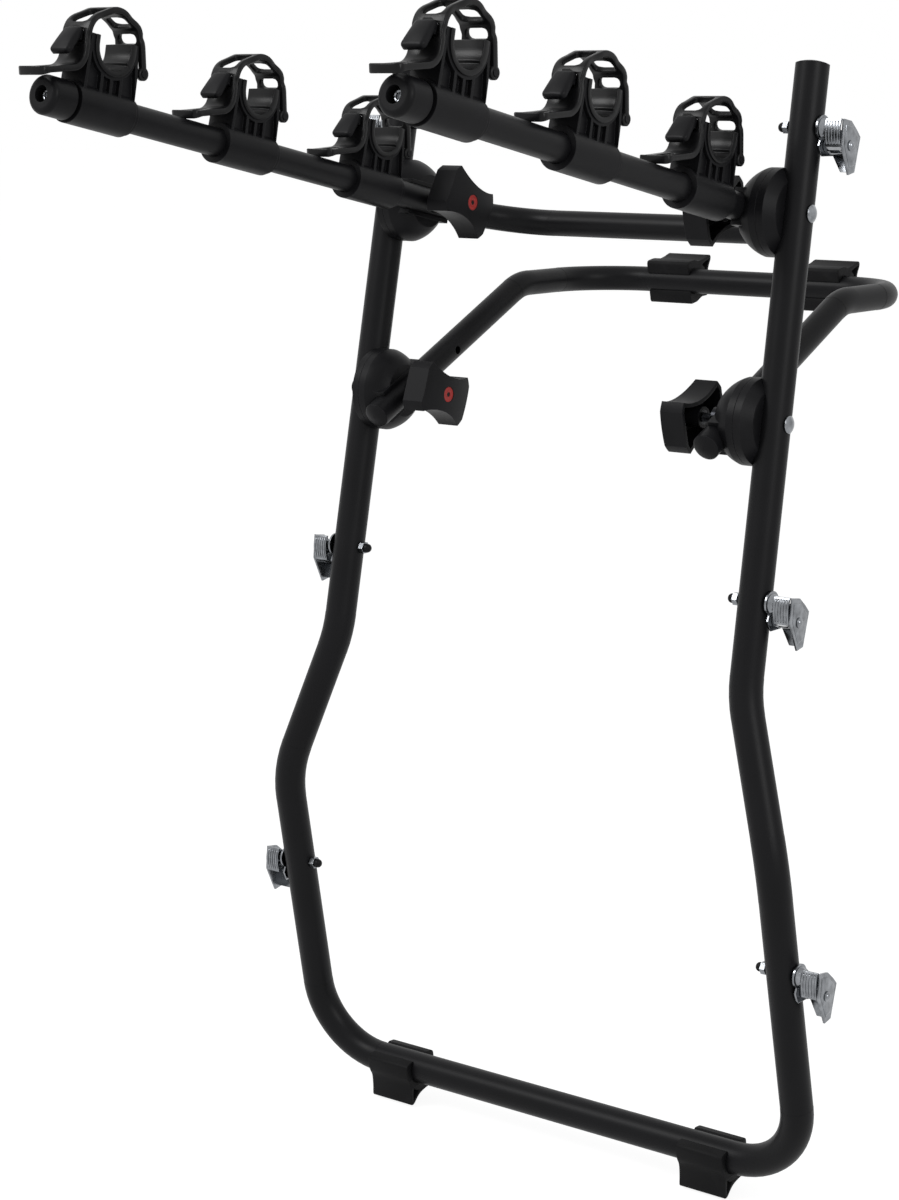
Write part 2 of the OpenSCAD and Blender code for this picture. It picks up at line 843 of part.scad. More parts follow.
// One edge of the strap's side view, at the given distance to the left of its path
bend_steps = 6;
function left_of(u) = [-u[1], u[0]];
function turned(v, a) = [v[0] * cos(a) - v[1] * sin(a), v[0] * sin(a) + v[1] * cos(a)];
function bend_edge(i, o) = let(u = unit(strap_pts[i] - strap_pts[i - 1]), a = bent(i), r = strap_radii[i - 1],
        inward = sign(a) * left_of(u), c = strap_pts[i] - u * strap_cut[i] + inward * r)
    [for (k = [0 : bend_steps]) c - turned(inward, a * k / bend_steps) * (r - sign(a) * o)];
function strap_edge(o) = let(n = strap_last)
    concat([strap_pts[0] + o * left_of(unit(strap_pts[1] - strap_pts[0]))],
        [for (i = [1 : n - 1]) each bend_edge(i, o)],
        [strap_pts[n] + o * left_of(unit(strap_pts[n] - strap_pts[n - 1]))]);
function reversed(v) = [for (i = [len(v) - 1 : -1 : 0]) v[i]];
strap_outline = concat(strap_edge(strap_t / 2), reversed(strap_edge(-strap_t / 2)));

grip_root = strap_t / 2 - 0.3;

// Side view of the thickened end of the tab, its tip at the origin
module grip()
    polygon([[0, grip_t / 2], [-1.5 * grip_t, grip_root], [-1.5 * grip_t, -grip_root], [0, -grip_t / 2]]);

module strap(side, i) {
    tip = strap_pts[strap_last];
    tab = heading(strap_pts[strap_last - 1], tip);
    window = strap_w - 2 * rail_w;
    color("#161617")
        at_cradle(side, i)
            difference() {
                union() {
                    slab(-strap_w / 2, strap_w)
                        polygon(strap_outline);
                    slab(-strap_w / 2, strap_w)
                        translate(peg)
                            circle(r = eye_r);
                    slab(-strap_w / 2, strap_w)
                        translate(tip)
                            rotate(tab)
                                grip();
                }
                slab(-strap_w, 2 * strap_w)
                    translate(peg)
                        circle(r = peg_r + fit);
                translate([-window / 2, peg[0] - 2 * eye_r, peg[1] - 2 * eye_r])
                    cube([window, 4 * eye_r, 2 * eye_r + rung + 7]);
                for (k = [1, 2, 4])
                    strap_piece(k, window, 2 * strap_t, rung / 6, rung / 6);
                strap_piece(5, window, 2 * strap_t, 0, rung + 1);
                translate([0, tip[0], tip[1]])
                    rotate([tab, 0, 0])
                        translate([0, -grip_t - finger_len / 2, -grip_t])
                            linear_extrude(2 * grip_t) {
                                square([finger_d, finger_len - finger_d], center = true);
                                for (k = sides)
                                    translate([0, k * (finger_len - finger_d) / 2])
                                        circle(d = finger_d);
                            }
            }
}

// Strap buckles: local origin on the leg's outer side at the bolt, y to the vehicle, z up

ear_gap = 0.8;
ear_in = ear_gap + sheet_t;
ear_out = ear_in + buckle_w;
ear_r = 11;
cam = [5.6, -15];
back_top = [18, -2];
back_mid = [24, -8];
back_low = [15, -38];
front_low = [5, -40];
taper_top = -22;
tongue_w = 9;
front_mid = [-7, -15];
front_top_in = [-5, 8];
bolt_head_w = 4;
buckle_head_r = 9;
nut_h = 5;
nut_cap_len = 6;

module at_buckle(h, side)
    on_side(side)
        translate(leg_at(h) + [tube_d / 2, 0, 0])
            children();

module buckle(h, side)
    color("#aeb2b7")
        at_buckle(h, side)
            difference() {
                union() {
                    slab(ear_gap, sheet_t) {
                        circle(r = ear_r);
                        polygon([front_mid, [0, 0], [8, 6], back_top, back_mid, back_low, front_low]);
                    }
                    slab(ear_out, sheet_t)
                        polygon([front_top_in, [8, 6], back_top, back_mid, back_low, front_low, front_mid]);
                    slab(ear_gap, ear_out - ear_gap + sheet_t)
                        polygon([back_top, back_mid, back_low, back_low - [sheet_t, 0], back_mid - [sheet_t, 0.5],
                            back_top - [sheet_t / 2, sheet_t]]);
                }
                slab(-past, ear_out + 2 * sheet_t) {
                    translate(cam)
                        circle(d = cam_pin_d + 2 * fit);
                }
                slab(-past, ear_in + 2 * past)
                    circle(d = buckle_bolt_d + 2 * fit);
                translate([ear_in + 3, back_mid[0] - 10, taper_top])
                    cube([buckle_w - 6, 12, 6]);
                translate([0, tube_d, 0])
                    rotate([90, 0, 0])
                        linear_extrude(2 * tube_d)
                            polygon([[0, taper_top], [ear_gap, taper_top], [ear_out - tongue_w, back_low[1] - 3],
                                [0, back_low[1] - 3]]);
            }

module each_buckle()
    both_sides()
        for (h = buckle_heights)
            at_buckle(h, 1)
                children();

module cam_pins()
    color("#c4c7cb")
        each_buckle() {
            slab(ear_gap, ear_out + sheet_t + fit)
                translate(cam)
                    circle(d = cam_pin_d);
            slab(ear_out + sheet_t + fit, 1.2)
                translate(cam)
                    circle(d = cam_pin_d + 3);
        }

module buckle_bolts()
    color("#c4c7cb")
        each_buckle() {
            translate([ear_in + fit, 0, 0])
                rotate([0, 90, 0])
                    cylinder(r1 = buckle_head_r, r2 = buckle_head_r - 2.5, h = bolt_head_w);
            slab(-tube_d - nut_h - nut_cap_len + 2, tube_d + nut_h + nut_cap_len + ear_in)
                circle(d = buckle_bolt_d);
        }

module buckle_nuts()
    color("#c4c7cb")
        each_buckle()
            slab(-tube_d - ear_gap - nut_h, nut_h)
                difference() {
                    circle(r = buckle_bolt_d, $fn = 6);
                    circle(d = buckle_bolt_d + 2 * fit);
                }

module nut_caps()
    color("#151617")
        each_buckle()
            difference() {
                slab(-tube_d - ear_gap - nut_h - fit - nut_cap_len, nut_cap_len)
                    circle(d = buckle_bolt_d + 2.6);
                slab(-tube_d - nut_h - nut_cap_len + 1, nut_cap_len)
                    circle(d = buckle_bolt_d + 2 * fit);
            }

// Cam lever: barrel on the pin, cam towards the back plate and a curved thumb plate in front

side_play = 0.4;
barrel_r = 6.3;
lobe = [6, -2];
lobe_r = 6;
thumb_c = [12, 11];
thumb_r = 26.5;
thumb_from = ear_in + bolt_head_w + 1.6;
coil_r = cam_pin_d / 2 + 0.6 + spring_wire / 2;
coil_pitch = spring_wire + 0.45;
notch_r = max(coil_r + spring_wire / 2 + 1.6, barrel_r + 0.5);
notch_w = coil_pitch * (spring_turns + 0.5) + spring_wire + 1.2;
lever_mid = (ear_in + ear_out) / 2;

module thumb_plate()
    intersection() {
        translate(thumb_c)
            difference() {
                circle(r = thumb_r);
                circle(r = thumb_r - sheet_t);
            }
        translate([thumb_c[0] - 2 * thumb_r, -1])
            square([1.5 * thumb_r, 24]);
    }

module lever(h, side)
    color("#c9ccd0")
        at_buckle(h, side)
            translate([0, cam[0], cam[1]])
                difference() {
                    union() {
                        slab(ear_in + side_play, buckle_w - 2 * side_play) {
                            circle(r = barrel_r);
                            translate(lobe)
                                circle(r = lobe_r);
                        }
                        slab(thumb_from, ear_out - side_play - thumb_from) {
                            thumb_plate();
                            polygon([[-3, -5], [-3, 2], [-13, 3], [-12.4, -1]]);
                        }
                    }
                    slab(0, 2 * ear_out)
                        circle(d = cam_pin_d + 2 * run);
                    slab(lever_mid - notch_w / 2, notch_w)
                        circle(r = notch_r);
                }

// Cam spring: one unbroken wire with a straight leg at each end

ring_sides = 6;
curl_rings = 8;
leg_len = 8;
ring_count = curl_rings * spring_turns + curl_rings / 2;
coil_len = coil_pitch * (spring_turns + 0.5);
function coil_at(t) = let(a = 180 + 360 * t)
    [lever_mid - coil_len / 2 + coil_pitch * t, coil_r * cos(a), coil_r * sin(a)];
function coil_dir(t) = let(a = 180 + 360 * t) unit([coil_pitch / (2 * PI * coil_r), -sin(a), cos(a)]);
wire_at = concat([coil_at(0) + [0, 0, leg_len]], [for (i = [0 : ring_count]) coil_at(i / curl_rings)],
    [coil_at(ring_count / curl_rings) + [0, 0, leg_len]]);
wire_dir = concat([[0, 0, -1]], [for (i = [0 : ring_count]) coil_dir(i / curl_rings)], [[0, 0, 1]]);
wire_rings = len(wire_at);
wire_points = [for (i = [0 : wire_rings - 1])
    let(z = wire_dir[i], x = unit(cross(cross(z, [1, 0, 0]), z)), y = cross(z, x))
    for (k = [0 : ring_sides - 1])
        wire_at[i] + spring_wire / 2 * (x * cos(360 / ring_sides * k) + y * sin(360 / ring_sides * k))];
wire_faces = concat([[for (k = [0 : ring_sides - 1]) k]],
    [[for (k = [ring_sides - 1 : -1 : 0]) (wire_rings - 1) * ring_sides + k]],
    [for (i = [0 : wire_rings - 2]) for (k = [0 : ring_sides - 1]) let(m = (k + 1) % ring_sides)
        [i * ring_sides + k, (i + 1) * ring_sides + k, (i + 1) * ring_sides + m, i * ring_sides + m]]);
echo(least_spring_gap = coil_pitch - spring_wire);

module cam_springs()
    color("#b9bcc0")
        each_buckle()
            translate([0, cam[0], cam[1]])
                polyhedron(wire_points, wire_faces);

main_frame();
frame_end_caps();
lower_pads();
hub_plate(upper_hinge, -1);  // hub_plate_upper_left
hub_plate(upper_hinge, 1);  // hub_plate_upper_right
hub_plate(lower_hinge, -1);  // hub_plate_lower_left
hub_plate(lower_hinge, 1);  // hub_plate_lower_right
hinge_bolts();
buckle_bolts();
buckle_nuts();
nut_caps();
cam_pins();
cam_springs();
buckle(upper_buckle_h, -1);  // buckle_upper_left
buckle(upper_buckle_h, 1);  // buckle_upper_right
buckle(middle_buckle_h, -1);  // buckle_middle_left
buckle(middle_buckle_h, 1);  // buckle_middle_right
buckle(lower_buckle_h, -1);  // buckle_lower_left
buckle(lower_buckle_h, 1);  // buckle_lower_right
lever(upper_buckle_h, -1);  // lever_upper_left
lever(upper_buckle_h, 1);  // lever_upper_right
lever(middle_buckle_h, -1);  // lever_middle_left
lever(middle_buckle_h, 1);  // lever_middle_right
lever(lower_buckle_h, -1);  // lever_lower_left
lever(lower_buckle_h, 1);  // lever_lower_right
arm_tube();
arm_end_caps();
cap_screws();
arm_hub(-1);  // arm_hub_left
arm_hub(1);  // arm_hub_right
arm_washers();
cradle(-1, 1);  // cradle_left_1
cradle(-1, 2);  // cradle_left_2
cradle(-1, 3);  // cradle_left_3
cradle(1, 1);  // cradle_right_1
cradle(1, 2);  // cradle_right_2
cradle(1, 3);  // cradle_right_3
liners(-1);  // liners_left
liners(1);  // liners_right
strap(-1, 1);  // strap_left_1
strap(-1, 2);  // strap_left_2
strap(-1, 3);  // strap_left_3
strap(1, 1);  // strap_right_1
strap(1, 2);  // strap_right_2
strap(1, 3);  // strap_right_3
stand_tube();
stand_plugs();
stand_hub(-1);  // stand_hub_left
stand_hub(1);  // stand_hub_right
stand_washers();
upper_pads();
knob(upper_hinge, arm_stack, arm_d, -1, -30);  // knob_upper_left
knob(upper_hinge, arm_stack, arm_d, 1, 15);  // knob_upper_right
knob(lower_hinge, stand_stack, stand_d, -1, -20);  // knob_lower_left
knob(lower_hinge, stand_stack, stand_d, 1, 15);  // knob_lower_right
insert(upper_hinge, arm_stack, arm_d, -1, -30);  // insert_upper_left
insert(upper_hinge, arm_stack, arm_d, 1, 15);  // insert_upper_right
insert(lower_hinge, stand_stack, stand_d, -1, -20);  // insert_lower_left
insert(lower_hinge, stand_stack, stand_d, 1, 15);  // insert_lower_right
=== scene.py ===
import json
import math

import bmesh
import bpy
from mathutils import Matrix, Vector


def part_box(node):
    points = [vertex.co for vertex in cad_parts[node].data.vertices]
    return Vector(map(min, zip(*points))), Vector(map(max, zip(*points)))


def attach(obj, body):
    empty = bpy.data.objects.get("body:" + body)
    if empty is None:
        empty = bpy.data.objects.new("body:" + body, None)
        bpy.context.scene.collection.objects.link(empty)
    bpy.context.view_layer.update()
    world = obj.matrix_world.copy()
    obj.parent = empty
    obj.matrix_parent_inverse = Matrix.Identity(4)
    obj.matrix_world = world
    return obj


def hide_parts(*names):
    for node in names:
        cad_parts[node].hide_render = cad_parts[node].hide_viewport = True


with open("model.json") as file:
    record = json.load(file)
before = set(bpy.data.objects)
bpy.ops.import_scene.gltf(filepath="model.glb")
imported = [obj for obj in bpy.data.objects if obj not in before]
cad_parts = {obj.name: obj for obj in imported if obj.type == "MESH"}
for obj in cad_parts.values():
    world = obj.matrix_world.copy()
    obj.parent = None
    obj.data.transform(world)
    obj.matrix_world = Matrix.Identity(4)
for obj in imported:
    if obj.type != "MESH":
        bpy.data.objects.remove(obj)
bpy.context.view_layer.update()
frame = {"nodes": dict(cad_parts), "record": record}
nodes = frame["nodes"]
scene = bpy.context.scene
mm = 0.001
sides = ((-1, "left"), (1, "right"))


def toLinear(hexText):
    channels = [int(hexText[i:i + 2], 16) / 255 for i in (1, 3, 5)]
    return [c / 12.92 if c <= 0.04045 else ((c + 0.055) / 1.055) ** 2.4 for c in channels] + [1.0]


def addNode(tree, kind, settings=None, links=None):
    node = tree.nodes.new(kind)
    for key, value in (settings or {}).items():
        if isinstance(key, int) or (key in node.inputs and not hasattr(node, key)):
            node.inputs[key].default_value = value
        else:
            setattr(node, key, value)
    for key, source in (links or {}).items():
        tree.links.new(source, node.inputs[key])
    return node


# Camera at the photograph's place, worked out from the tubes' lines in it
photoCamera = {"place": (1393.1, -1962.2, 1002.1), "azimuth": 37.76, "down": 11.06, "lens": 78.53,
               "nearest": 0.05, "farthest": 80}

camData = bpy.data.cameras.new("photoCamera")
camData.lens = photoCamera["lens"]
camData.clip_start = photoCamera["nearest"]
camData.clip_end = photoCamera["farthest"]
cam = bpy.data.objects.new("photoCamera", camData)
scene.collection.objects.link(cam)
turn, dip = math.radians(photoCamera["azimuth"]), math.radians(photoCamera["down"])
look = Vector((-math.sin(turn) * math.cos(dip), math.cos(turn) * math.cos(dip), -math.sin(dip)))
cam.location = Vector(photoCamera["place"]) * mm
cam.rotation_mode = "QUATERNION"
cam.rotation_quaternion = look.to_track_quat("-Z", "Y")
scene.camera = cam
print("camera placed")


def startMaterial(name):
    mat = bpy.data.materials.new(name)
    mat.use_nodes = True
    return mat, mat.node_tree, mat.node_tree.nodes["Principled BSDF"]


# What every finish ends with: roughness that follows a cloud, fine relief and the shader's own values
def finishSurface(tree, shader, look, cloud, relief, rounded=None):
    gloss = addNode(tree, "ShaderNodeMapRange", {"To Min": look["rough"][0], "To Max": look["rough"][1]},
                    {"Value": cloud.outputs["Fac"]})
    tree.links.new(gloss.outputs["Result"], shader.inputs["Roughness"])
    bump = addNode(tree, "ShaderNodeBump", {"Strength": look["relief"], "Distance": look["reliefMm"] * mm},
                   {"Height": relief.outputs["Fac"]})
    if rounded:
        tree.links.new(rounded.outputs["Normal"], bump.inputs["Normal"])
    tree.links.new(bump.outputs["Normal"], shader.inputs["Normal"])
    for key, value in look["shader"].items():
        shader.inputs[key].default_value = value


# Powder-coated steel tube: baked polyester powder flows to a satin black skin with a faint orange peel
powderLook = {"deep": "#0c0c0d", "pale": "#141416", "dust": "#2a2a2c", "cloudMm": 70.0, "peelMm": 1.6,
              "specksPerM": 420.0, "dustFrom": 0.66, "dustFull": 0.8, "dustMost": 0.35,
              "rough": (0.33, 0.47), "relief": 0.10, "reliefMm": 0.3,
              "shader": {"IOR": 1.5, "Specular IOR Level": 0.1}}


def makePowderCoat():
    z = powderLook
    mat, tree, shader = startMaterial("powderCoatedSteel")
    coords = addNode(tree, "ShaderNodeTexCoord").outputs["Object"]
    cloud = addNode(tree, "ShaderNodeTexNoise", {"Scale": 1000 / z["cloudMm"], "Detail": 4.0},
                    {"Vector": coords})
    tint = addNode(tree, "ShaderNodeMix", {"data_type": "RGBA", 6: toLinear(z["deep"]),
                                           7: toLinear(z["pale"])}, {0: cloud.outputs["Fac"]})
    specks = addNode(tree, "ShaderNodeTexNoise", {"Scale": z["specksPerM"], "Detail": 3.0, "Roughness": 0.7},
                     {"Vector": coords})
    dust = addNode(tree, "ShaderNodeMapRange", {"From Min": z["dustFrom"], "From Max": z["dustFull"],
                                                "To Max": z["dustMost"]}, {"Value": specks.outputs["Fac"]})
    dusty = addNode(tree, "ShaderNodeMix", {"data_type": "RGBA", 7: toLinear(z["dust"])},
                    {0: dust.outputs["Result"], 6: tint.outputs[2]})
    tree.links.new(dusty.outputs[2], shader.inputs["Base Color"])
    peel = addNode(tree, "ShaderNodeTexNoise", {"Scale": 1000 / z["peelMm"], "Detail": 1.5},
                   {"Vector": coords})
    finishSurface(tree, shader, z, cloud, peel)
    return mat


# Glass-filled nylon: injection moulded, matt black from the spark-eroded mould, painted paler along its
# edges, partly for wear and partly as a painted highlight.
# The mould's 0.2 mm grain is drawn at 0.7 mm, because finer than that it would not show.
nylonLook = {"deep": "#09090a", "pale": "#151517", "rubbedAndHighlit": "#343437", "cloudsPerM": 45.0, "grainMm": 0.7,
             "edgeMm": 0.8, "edgeFrom": 0.985, "edgeFull": 0.8, "edgeMost": 0.55,
             "rough": (0.32, 0.5), "relief": 0.22, "reliefMm": 0.2,
             "shader": {"IOR": 1.53, "Specular IOR Level": 0.08}}


def makeNylon():
    z = nylonLook
    mat, tree, shader = startMaterial("mouldedNylon")
    coords = addNode(tree, "ShaderNodeTexCoord").outputs["Object"]
    cloud = addNode(tree, "ShaderNodeTexNoise", {"Scale": z["cloudsPerM"], "Detail": 5.0, "Distortion": 0.4},
                    {"Vector": coords})
    tint = addNode(tree, "ShaderNodeMix", {"data_type": "RGBA", 6: toLinear(z["deep"]),
                                           7: toLinear(z["pale"])}, {0: cloud.outputs["Fac"]})
    # A rounded normal differs from the flat one only near an edge, and there the nylon is painted paler,
    # partly for wear and partly as a painted highlight
    rounded = addNode(tree, "ShaderNodeBevel", {"samples": 4, "Radius": z["edgeMm"] * mm})
    flat = addNode(tree, "ShaderNodeNewGeometry")
    facing = addNode(tree, "ShaderNodeVectorMath", {"operation": "DOT_PRODUCT"},
                     {0: rounded.outputs["Normal"], 1: flat.outputs["Normal"]})
    edge = addNode(tree, "ShaderNodeMapRange", {"From Min": z["edgeFrom"], "From Max": z["edgeFull"],
                                                "To Max": z["edgeMost"]}, {"Value": facing.outputs["Value"]})
    wornAndHighlit = addNode(tree, "ShaderNodeMath", {"operation": "MULTIPLY"},
                   {0: edge.outputs["Result"], 1: cloud.outputs["Fac"]})
    colour = addNode(tree, "ShaderNodeMix", {"data_type": "RGBA", 7: toLinear(z["rubbedAndHighlit"])},
                     {0: wornAndHighlit.outputs["Value"], 6: tint.outputs[2]})
    tree.links.new(colour.outputs[2], shader.inputs["Base Color"])
    grain = addNode(tree, "ShaderNodeTexNoise", {"Scale": 1000 / z["grainMm"], "Detail": 1.0},
                    {"Vector": coords})
    finishSurface(tree, shader, z, cloud, grain, rounded)
    return mat


# EPDM rubber: compression moulded, deep black with a soft sheen and a grey bloom in patches.
# Straps and liners come from a polished mould, the pads from a blasted one that leaves them matt.
rubberLook = {"deep": "#080809", "pale": "#131314", "bloom": "#262627", "bloomMm": 24.0, "grainMm": 0.9,
              "bloomFrom": 0.55, "bloomFull": 0.85, "bloomMost": 0.4, "relief": 0.16, "reliefMm": 0.2}
polishedLook = {"rough": (0.22, 0.42), "shader": {"IOR": 1.52, "Specular IOR Level": 0.14}}
blastedLook = {"rough": (0.5, 0.7), "shader": {"IOR": 1.52, "Specular IOR Level": 0.09}}


def makeRubber(name, mould):
    z = {**rubberLook, **mould}
    mat, tree, shader = startMaterial(name)
    coords = addNode(tree, "ShaderNodeTexCoord").outputs["Object"]
    cloud = addNode(tree, "ShaderNodeTexNoise",
                    {"Scale": 1000 / z["bloomMm"], "Detail": 6.0, "Roughness": 0.6}, {"Vector": coords})
    tint = addNode(tree, "ShaderNodeMix", {"data_type": "RGBA", 6: toLinear(z["deep"]),
                                           7: toLinear(z["pale"])}, {0: cloud.outputs["Fac"]})
    bloom = addNode(tree, "ShaderNodeMapRange", {"From Min": z["bloomFrom"], "From Max": z["bloomFull"],
                                                 "To Max": z["bloomMost"]}, {"Value": cloud.outputs["Fac"]})
    colour = addNode(tree, "ShaderNodeMix", {"data_type": "RGBA", 7: toLinear(z["bloom"])},
                     {0: bloom.outputs["Result"], 6: tint.outputs[2]})
    tree.links.new(colour.outputs[2], shader.inputs["Base Color"])
    grain = addNode(tree, "ShaderNodeTexNoise", {"Scale": 1000 / z["grainMm"], "Detail": 2.0},
                    {"Vector": coords})
    finishSurface(tree, shader, z, cloud, grain)
    return mat


# Zinc-plated steel: pressed from cold-rolled sheet and then plated, so rolling lines show in a bright skin;
# its dark and pale mottle is painted reflection, standing in for a studio's dark and bright surround
zincLook = {"deep": "#2b2d30", "pale": "#9fa2a6", "rollMm": 0.8, "cloudMm": 7.0, "lineShare": 0.2,
            "edgeMm": 0.5, "rough": (0.12, 0.26), "relief": 0.12, "reliefMm": 0.1,
            "shader": {"Metallic": 1.0}}


def makeZinc(name, lineScale, deep=zincLook["deep"], pale=zincLook["pale"]):
    z = zincLook
    mat, tree, shader = startMaterial(name)
    coords = addNode(tree, "ShaderNodeTexCoord").outputs["Object"]
    cloud = addNode(tree, "ShaderNodeTexNoise", {"Scale": 1000 / z["cloudMm"], "Detail": 5.0},
                    {"Vector": coords})
    stretch = addNode(tree, "ShaderNodeMapping", {"Scale": lineScale}, {"Vector": coords})
    lines = addNode(tree, "ShaderNodeTexNoise", {"Scale": 1000 / z["rollMm"], "Detail": 2.0},
                    {"Vector": stretch.outputs["Vector"]})
    # the cloud's dark and pale patches are painted reflection; the rolling lines added to them are the
    # sheet's own
    rollLinesAndPaintedReflection = addNode(tree, "ShaderNodeMath", {"operation": "MULTIPLY_ADD", 1: z["lineShare"]},
                    {0: lines.outputs["Fac"], 2: cloud.outputs["Fac"]})
    tint = addNode(tree, "ShaderNodeMix", {"data_type": "RGBA", 6: toLinear(deep), 7: toLinear(pale)},
                   {0: rollLinesAndPaintedReflection.outputs["Value"]})
    tree.links.new(tint.outputs[2], shader.inputs["Base Color"])
    rounded = addNode(tree, "ShaderNodeBevel", {"samples": 4, "Radius": z["edgeMm"] * mm})
    finishSurface(tree, shader, z, cloud, lines, rounded)
    return mat


# Stoving enamel: a sprayed and baked red, fairly glossy and slightly mottled
enamelLook = {"deep": "#6f100c", "pale": "#9c1c16", "mottleMm": 3.0, "rough": (0.3, 0.42), "relief": 0.08,
              "reliefMm": 0.2, "shader": {"IOR": 1.5, "Specular IOR Level": 0.25}}


def makeEnamel():
    z = enamelLook
    mat, tree, shader = startMaterial("redStovingEnamel")
    coords = addNode(tree, "ShaderNodeTexCoord").outputs["Object"]
    mottle = addNode(tree, "ShaderNodeTexNoise", {"Scale": 1000 / z["mottleMm"], "Detail": 4.0},
                     {"Vector": coords})
    tint = addNode(tree, "ShaderNodeMix", {"data_type": "RGBA", 6: toLinear(z["deep"]),
                                           7: toLinear(z["pale"])}, {0: mottle.outputs["Fac"]})
    tree.links.new(tint.outputs[2], shader.inputs["Base Color"])
    finishSurface(tree, shader, z, mottle, mottle)
    return mat


powderCoat = makePowderCoat()
nylon = makeNylon()
enamel = makeEnamel()
rubber = makeRubber("mouldedRubber", polishedLook)
mattRubber = makeRubber("mattMouldedRubber", blastedLook)
# The small share in each scale draws the rolling, turning or drawing lines out along that axis
zinc = makeZinc("brightZincPlate", (1.0, 1.0, 0.06))
turnedZinc = makeZinc("turnedZincPlate", (0.06, 1.0, 1.0))
drawnWire = makeZinc("drawnSpringWire", (1.0, 0.3, 0.3))
# Washers, threads and inserts drawn in a near-black metal as painted shade, for where they sit between and
# inside the knobs, hubs and tubes
shadedMetal = makeZinc("blackOxideSteel", (0.3, 1.0, 1.0), "#0c0c0d", "#2a2b2e")
finishOf = {"frame_paint": powderCoat, "black_plastic": nylon, "black_rubber": rubber,
            "zinc_sheet": zinc, "bright_hardware": turnedZinc, "spring_wire": drawnWire}
for entry in frame["record"]["subparts"]:
    mesh = nodes[entry["node"]].data
    mesh.materials.clear()
    # the knob inserts and the washers take the near-black metal, as painted shade
    shadedHardware = entry["node"].startswith("insert_") or entry["node"].endswith("_washers")
    mesh.materials.append(shadedMetal if shadedHardware else finishOf[entry["material_slot"]])
print("finishes set on the CAD pieces")


def newObject(name, mesh):
    obj = bpy.data.objects.new(name, mesh)
    scene.collection.objects.link(obj)
    return obj


weldMm = 0.001  # vertices nearer than this are one


def weld(shape):
    bmesh.ops.remove_doubles(shape, verts=shape.verts, dist=weldMm * mm)
    bmesh.ops.recalc_face_normals(shape, faces=shape.faces)


def meshFrom(name, verts, faces):
    mesh = bpy.data.meshes.new(name)
    mesh.from_pydata([tuple(v) for v in verts], [], faces)
    shape = bmesh.new()
    shape.from_mesh(mesh)
    weld(shape)
    shape.to_mesh(mesh)
    shape.free()
    mesh.shade_smooth()
    return mesh


def settled(obj, name):
    # the evaluated shape as a plain mesh on a new object; the old one goes
    graph = bpy.context.evaluated_depsgraph_get()
    mesh = bpy.data.meshes.new_from_object(obj.evaluated_get(graph))
    old = obj.data
    bpy.data.objects.remove(obj)
    if isinstance(old, bpy.types.Curve):
        bpy.data.curves.remove(old)
    mesh.name = name
    return newObject(name, mesh)


def softenEdges(obj, widthMm, angle):
    bevel = obj.modifiers.new("softEdges", "BEVEL")
    bevel.width = widthMm * mm
    bevel.segments = 2
    bevel.limit_method = "ANGLE"
    bevel.angle_limit = math.radians(angle)
    bevel.use_clamp_overlap = False
    return settled(obj, obj.name)


def wear(obj, body, slot, *replaced):
    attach(obj, body)
    if replaced:
        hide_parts(*replaced)


# Where the arms carry their cradles, in the CAD's own millimetres
armSizes = {"hingeX": 182.4711, "hingeY": 37.1779, "hingeZ": 895.6691, "tilt": 11.5, "length": 500.0,
            "start": 90.0, "pitch": 180.0, "cradles": 3}
tilt = math.radians(armSizes["tilt"])
armForward = Vector((0, -math.cos(tilt), math.sin(tilt)))


def alongArm(side, distance):
    hinge = Vector((side * armSizes["hingeX"], armSizes["hingeY"], armSizes["hingeZ"]))
    return hinge + armForward * distance


# A tree with its inputs and its one output named; gives the tree and what it is given
def startTree(name, inputs):
    tree = bpy.data.node_groups.new(name, "GeometryNodeTree")
    tree.interface.new_socket("Geometry", in_out="INPUT", socket_type="NodeSocketGeometry")
    for label, kind in inputs:
        tree.interface.new_socket(label, in_out="INPUT", socket_type="NodeSocket" + kind)
    tree.interface.new_socket("Geometry", in_out="OUTPUT", socket_type="NodeSocketGeometry")
    return tree, addNode(tree, "NodeGroupInput").outputs


# What both trees end with: real copies in one finish
def endTree(tree, copies, finish):
    real = addNode(tree, "GeometryNodeRealizeInstances", {}, {"Geometry": copies.outputs["Instances"]})
    dressed = addNode(tree, "GeometryNodeSetMaterial", {},
                      {"Geometry": real.outputs["Geometry"], "Material": finish})
    addNode(tree, "NodeGroupOutput", {}, {"Geometry": dressed.outputs["Geometry"]})
    return tree


